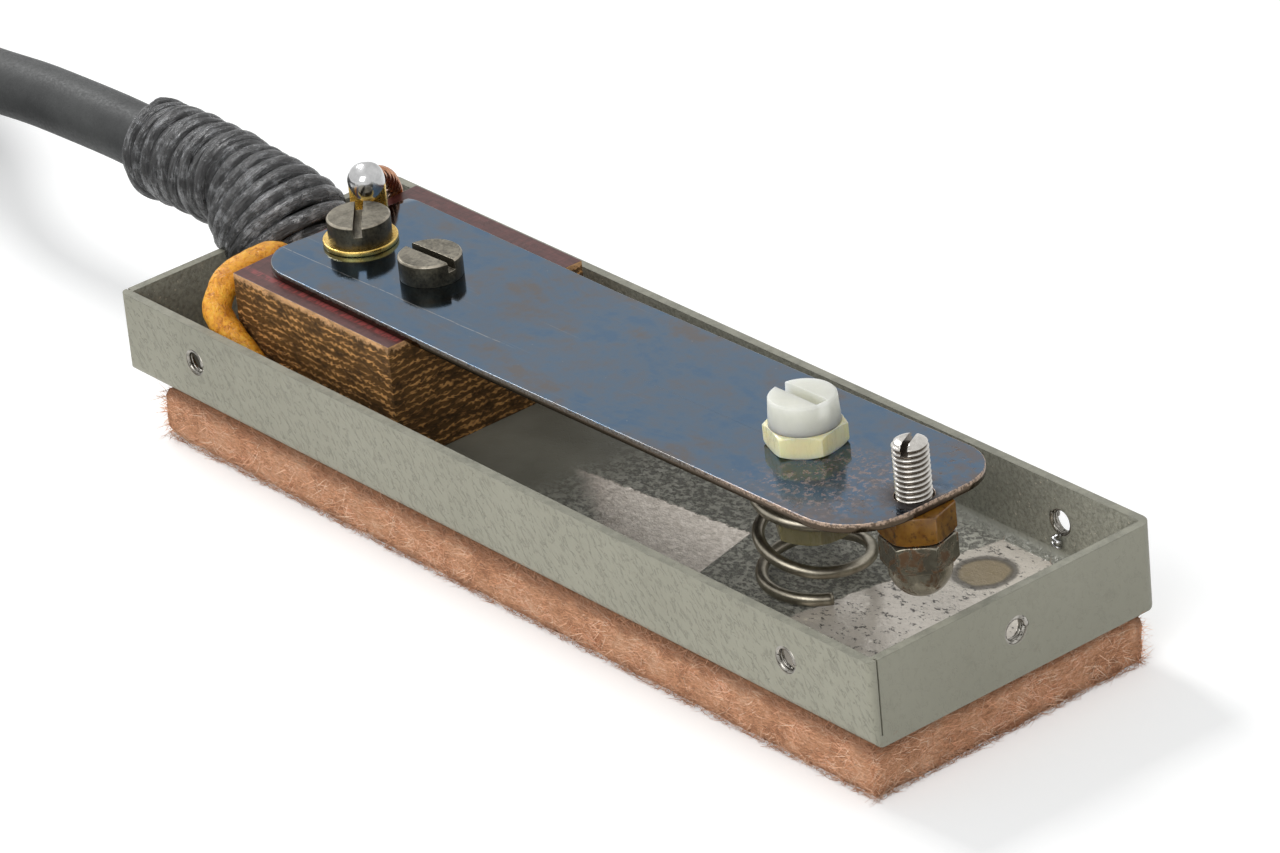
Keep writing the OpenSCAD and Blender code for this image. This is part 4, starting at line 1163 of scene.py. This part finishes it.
def make_lever():
    """The whole leaf, drawn level, cut across where it bends, and then laid along the sloping arm."""
    bm = bmesh.new()
    outline = []
    for x, y in rounded_outline(LEVER_LOW, LEVER_HIGH, LEVER_RADII):
        share = (y - LEVER_LOW[1]) / (LEVER_HIGH[1] - LEVER_LOW[1])
        outline.append((max(x, LEVER_LOW[0] + LEVER_SKEW * share), y))
    loops = [outline]
    r = THREAD_D / 2 + LEVER_HOLE_PLAY
    for cx, cy in LEVER_HOLES:
        loops.append([(cx + r * math.cos(a), cy + r * math.sin(a)) for a in circle(32)])
    edges = []
    for loop in loops:
        verts = [bm.verts.new((x * MM, y * MM, BLOCK_TOP * MM)) for x, y in loop]
        edges += [bm.edges.new((verts[k - 1], verts[k])) for k in range(len(verts))]
    bmesh.ops.triangle_fill(bm, edges=edges, use_beauty=True)
    bend_start, bend_end = BEND[0] - BEND_REACH, BEND[0] + BEND_REACH
    for x in range(math.floor(bend_start), math.ceil(bend_end) + 2):
        cut_across(bm, 0, x * MM)
    bmesh.ops.recalc_face_normals(bm, faces=bm.faces)
    for grown in bmesh.ops.extrude_face_region(bm, geom=bm.faces[:])["geom"]:
        if isinstance(grown, bmesh.types.BMVert):
            grown.co.z += LEVER_T * MM
    bmesh.ops.recalc_face_normals(bm, faces=bm.faces)
    lever = piece("lever_leaf", mesh_of(bm), "blued_steel", None, ["lever_clamped_end", "lever_arm"])
    settle(round_edges(lever, LEVER_EDGE, 2, 50))
    arm = on_arm()
    for v in lever.data.vertices:
        v.co = v.co.lerp(arm @ v.co, ease((v.co.x / MM - bend_start) / (2 * BEND_REACH)))
    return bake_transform(lever)


make_lever()
dress("rear_lever_screw", "screw_steel", 0.12)
dress("front_lever_screw", "screw_steel", 0.12)
dress("solder_tag", "tag_brass", 0.1)
dress("earth_solder", "solder", 0.1)
dress("knob_screw", "white_nylon", 0.22, 3)
dress("knob_nut", "yellowed_nylon", 0.12, 3)
# The spacer gets the yellowed nylon darkened with painted shade
dress("knob_spacer", "yellowed_nylon", 0.12, 3, look="painted_shade_nylon")
dress("contact_lock_nut", "amber_plastic", 0.12, 3)
dress("contact_dome", "stained_nickel", 0.12, 3)


def make_solder():
    """The rounded drop of solder on the tag."""
    bm = bmesh.new()
    bmesh.ops.create_icosphere(bm, subdivisions=5, radius=1.0)
    centre = Vector(TAG_SOLDER)
    for v in bm.verts:
        d = v.co.normalized()
        r = SOLDER_R + 0.10 * noise.noise(d * 1.2 + vec(4.2, 0.4, 1.7))
        skirt = 1 + 0.22 * max(0.0, -d.z)
        v.co = (centre + vec(d.x * r, d.y * r, d.z * r * skirt)) * MM
    return piece("tag_solder_drop", mesh_of(bm), "solder", "base", ["tag_solder"])


def make_tag_wire():
    """Twisted copper strands from the cable to the tag."""
    end, drop = Vector(CABLE_END), Vector(TAG_SOLDER)
    behind = BLOCK_LOW[0] - BLOCK_SKEW - TAG_WIRE_D / 2 - 0.2
    beside = BLOCK_HIGH[1] - 1.1 * TAG_WIRE_D
    core = [end + vec(0.2, 1.2, -0.2), end + vec(1.2, 1.4, -1)]
    core += [
        vec(behind - 2, beside - 3, RIM_Z - 1), vec(behind - 0.4, beside - 0.8, RIM_Z + 0.2),
        vec(behind, beside, BLOCK_TOP - 1.8), vec(behind + 0.1, beside - 0.1, BLOCK_TOP - 0.2),
    ]
    core += [drop + Vector(p) for p in ((-2.6, 4.2, -2.2), (-1.5, 2.6, -0.8), (-0.7, 1.1, 0))]
    core = smooth_line(core, 12)
    strand_r = TAG_WIRE_D / 6
    lines = [core]
    for n in range(TAG_STRANDS):
        line = []
        for p, (side, other, travelled) in zip(core, line_frames(core)):
            a = 2 * math.pi * (n / TAG_STRANDS + travelled / TAG_STRAND_LAY)
            line.append(p + 2 * strand_r * 0.98 * (math.cos(a) * side + math.sin(a) * other))
        lines.append(line)
    mesh = tube_mesh(lines, strand_r, 8)
    return piece("tag_wire_strands", mesh, "copper", "base", ["tag_wire"])


def make_earth_wire():
    """The sleeved wire from the cable round the block to the tray floor."""
    d = EARTH_WIRE_D
    end = Vector(CABLE_END)
    behind = BLOCK_LOW[0] - BLOCK_SKEW / 2 - d / 2 - 0.1
    near = BLOCK_LOW[1]
    beside = (near + NEAR_Y + SHEET_T) / 2
    points = [end + vec(0.2, -0.55 * d, -0.2), end + vec(0.45, -0.6, -0.4) * d, end + vec(1.4, -0.9, -0.35) * d]
    points.append(vec(behind, CABLE_Y - 1.5 * d, RIM_Z + 0.3 * d))
    route = (
        (0, CABLE_Y - 2.4 * d, 0.5), (0, near + 1.2 * d, 0.42), (0, near + 0.3 * d, 0.6),
        (0.25, near - 0.42 * d, 1.2), (0.65, beside, 1.6), (1.2, beside, 2), (2.2, beside, 2.75),
        (3.2, beside, 3.4),
    )
    points += [vec(behind + along * d, y, BLOCK_TOP - down * d) for along, y, down in route]
    points.append(vec(behind + 3.9 * d, beside, FLOOR_Z + 0.6 * d))

    def radius(n, along, angle):
        p = vec(along * 0.8, math.cos(angle) * 1.2, math.sin(angle) * 1.2)
        return d / 2 * (0.97 + 0.08 * noise.noise(p) + 0.035 * noise.noise(p * 3.0))

    mesh = tube_mesh([smooth_line(points, 8)], radius, 20)
    return piece("earth_wire_sleeve", mesh, "wire_sleeve", "base", ["earth_wire"])


make_solder()
make_tag_wire()
make_earth_wire()


def make_spring():
    kx, ky = LEVER_HOLES[2]
    steps = round(SPRING_TURNS * 72)
    line = []
    for i in range(steps + 1):
        t = i / steps
        a = math.radians(SPRING_START - 360 * SPRING_TURNS * t)
        z = SPRING_LOW + (SPRING_HIGH - SPRING_LOW) * lookup(t, SPRING_RISE)
        line.append(vec(kx + SPRING_R * math.cos(a), ky + SPRING_R * math.sin(a), z))
    line = [line[0]] + [(a + 2 * b + c) / 4 for a, b, c in zip(line, line[1:], line[2:])] + [line[-1]]
    mesh = tube_mesh([line], SPRING_WIRE_D / 2)
    spring = piece("spring_wire", mesh, "spring_steel", "base", ["return_spring"])
    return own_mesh(spring)


make_spring()


def thread_mesh(low, top, sides=48, row=0.05):
    """An upright screw thread with a crowned top. UV holds how near the crest a point is."""
    rows = round((top - low) / row)
    bm = bmesh.new()
    uv = bm.loops.layers.uv.new("UVMap")
    crest = {}
    rings = []
    for i in range(rows + 1):
        z = low + (top - low) * i / rows
        crown = max(0.0, (z - (top - STUD_CROWN)) / STUD_CROWN)
        limit = THREAD_D / 2 * math.sqrt(max(0.0, 1 - STUD_CROWN_DROP * crown**2))
        ring = []
        for k, a in enumerate(circle(sides)):
            turn = (z / STUD_PITCH - k / sides) % 1.0
            cut = STUD_GROOVE * max(0.0, 1 - abs(turn - 0.5) / STUD_GROOVE_HALF) ** STUD_GROOVE_SHAPE
            r = min(THREAD_D / 2 - cut, limit)
            ring.append(bm.verts.new((r * math.cos(a) * MM, r * math.sin(a) * MM, z * MM)))
            crest[ring[-1]] = 1 - cut / STUD_GROOVE if crown == 0 else 0.75
        rings.append(ring)
    for a, b in zip(rings, rings[1:]):
        for k in range(sides):
            j = (k + 1) % sides
            bm.faces.new((a[k], a[j], b[j], b[k])).smooth = True
    bm.faces.new(rings[0][::-1])
    bm.faces.new(rings[-1])
    for face in bm.faces:
        for loop in face.loops:
            loop[uv].uv = (crest[loop.vert], 0.5)
    return mesh_of(bm, smooth=False)


def slot_cutter(top):
    """A box as wide as the stud's slot, from the slot's floor to above the stud."""
    width, deep, angle = STUD_SLOT
    bm = bmesh.new()
    bmesh.ops.create_cube(bm, size=1.0)
    for v in bm.verts:
        v.co = vec(v.co.x * 2 * THREAD_D, v.co.y * width, top + 1.0 + (v.co.z - 0.5) * (2 * deep + 0.2)) * MM
        v.co.z = max(v.co.z, (top - deep) * MM)
    bmesh.ops.rotate(bm, verts=bm.verts, matrix=Matrix.Rotation(math.radians(angle), 3, "Z"))
    return new_object("slot_cutter", mesh_of(bm, smooth=False))


def make_stud():
    """The threaded contact stud with its domed, slotted end."""
    cx, cy = LEVER_HOLES[3]
    top = BLOCK_TOP + LEVER_T + STUD_RISE
    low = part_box("contact_screw")[0].z / MM + 0.05
    stud = piece("contact_thread", thread_mesh(low, top), "stud_steel", None, ["contact_screw"])
    cutter = slot_cutter(top)
    slot = stud.modifiers.new("slot", "BOOLEAN")
    slot.operation, slot.solver, slot.object = "DIFFERENCE", "EXACT", cutter
    settle(stud)
    bpy.data.objects.remove(cutter)
    stud.data.transform(on_arm() @ Matrix.Translation(vec(cx, cy, 0) * MM))
    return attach(stud, "contact")


make_stud()


# Floor and light


def make_floor():
    """A white table that glows a little for the camera and in reflections."""
    h = TABLE_HALF
    mesh = bpy.data.meshes.new("table")
    mesh.from_pydata([(-h, -h, 0), (h, -h, 0), (h, h, 0), (-h, h, 0)], [], [(0, 1, 2, 3)])
    floor = new_object("table", mesh)
    material = bpy.data.materials.new("white_table")
    material.use_nodes = True
    tree = material.node_tree
    tree.nodes.clear()
    path = add_node(tree, "LightPath").outputs
    rays = {0: path["Is Camera Ray"], 1: path["Is Glossy Ray"]}
    seen = add_node(tree, "Math", rays, operation="MAXIMUM").outputs[0]
    share = add_node(tree, "Math", {0: seen, 1: TABLE_GLOW}, operation="MULTIPLY").outputs[0]
    diffuse = add_node(tree, "BsdfDiffuse", {"Color": TABLE_TONE}).outputs[0]
    glow = add_node(tree, "Emission", {"Color": WHITE, "Strength": share}).outputs[0]
    total = add_node(tree, "AddShader", {0: diffuse, 1: glow}).outputs[0]
    add_node(tree, "OutputMaterial", {"Surface": total})
    mesh.materials.append(material)


def make_world():
    """Dim light from all round, that looks white to the camera and in reflections."""
    world = bpy.data.worlds.new("studio")
    scene.world = world
    world.use_nodes = True
    tree = world.node_tree
    tree.nodes.clear()
    path = add_node(tree, "LightPath").outputs
    seen = path["Is Camera Ray"]
    for ray in ("Is Glossy Ray", "Is Transmission Ray"):
        seen = add_node(tree, "Math", {0: seen, 1: path[ray]}, operation="MAXIMUM").outputs[0]
    lit = add_node(tree, "Background", {"Color": SKY_TONE, "Strength": SKY_STRENGTH}).outputs[0]
    shown = add_node(tree, "Background", {"Color": WHITE, "Strength": 1.0}).outputs[0]
    mixed = add_node(tree, "MixShader", {0: seen, 1: lit, 2: shown}).outputs[0]
    add_node(tree, "OutputWorld", {"Surface": mixed})


def make_softbox(name, place, size, watts):
    """A square lamp that looks at the middle of the key."""
    data = bpy.data.lights.new(name, "AREA")
    data.shape = "SQUARE"
    data.size = size
    data.energy = watts
    lamp = new_object(name, data)
    lamp.location = place
    lamp.rotation_euler = (-Vector(place)).to_track_quat("-Z", "Y").to_euler()


make_floor()
make_world()
for softbox, (place, size, watts) in SOFTBOXES.items():
    make_softbox(softbox, place, size, watts)
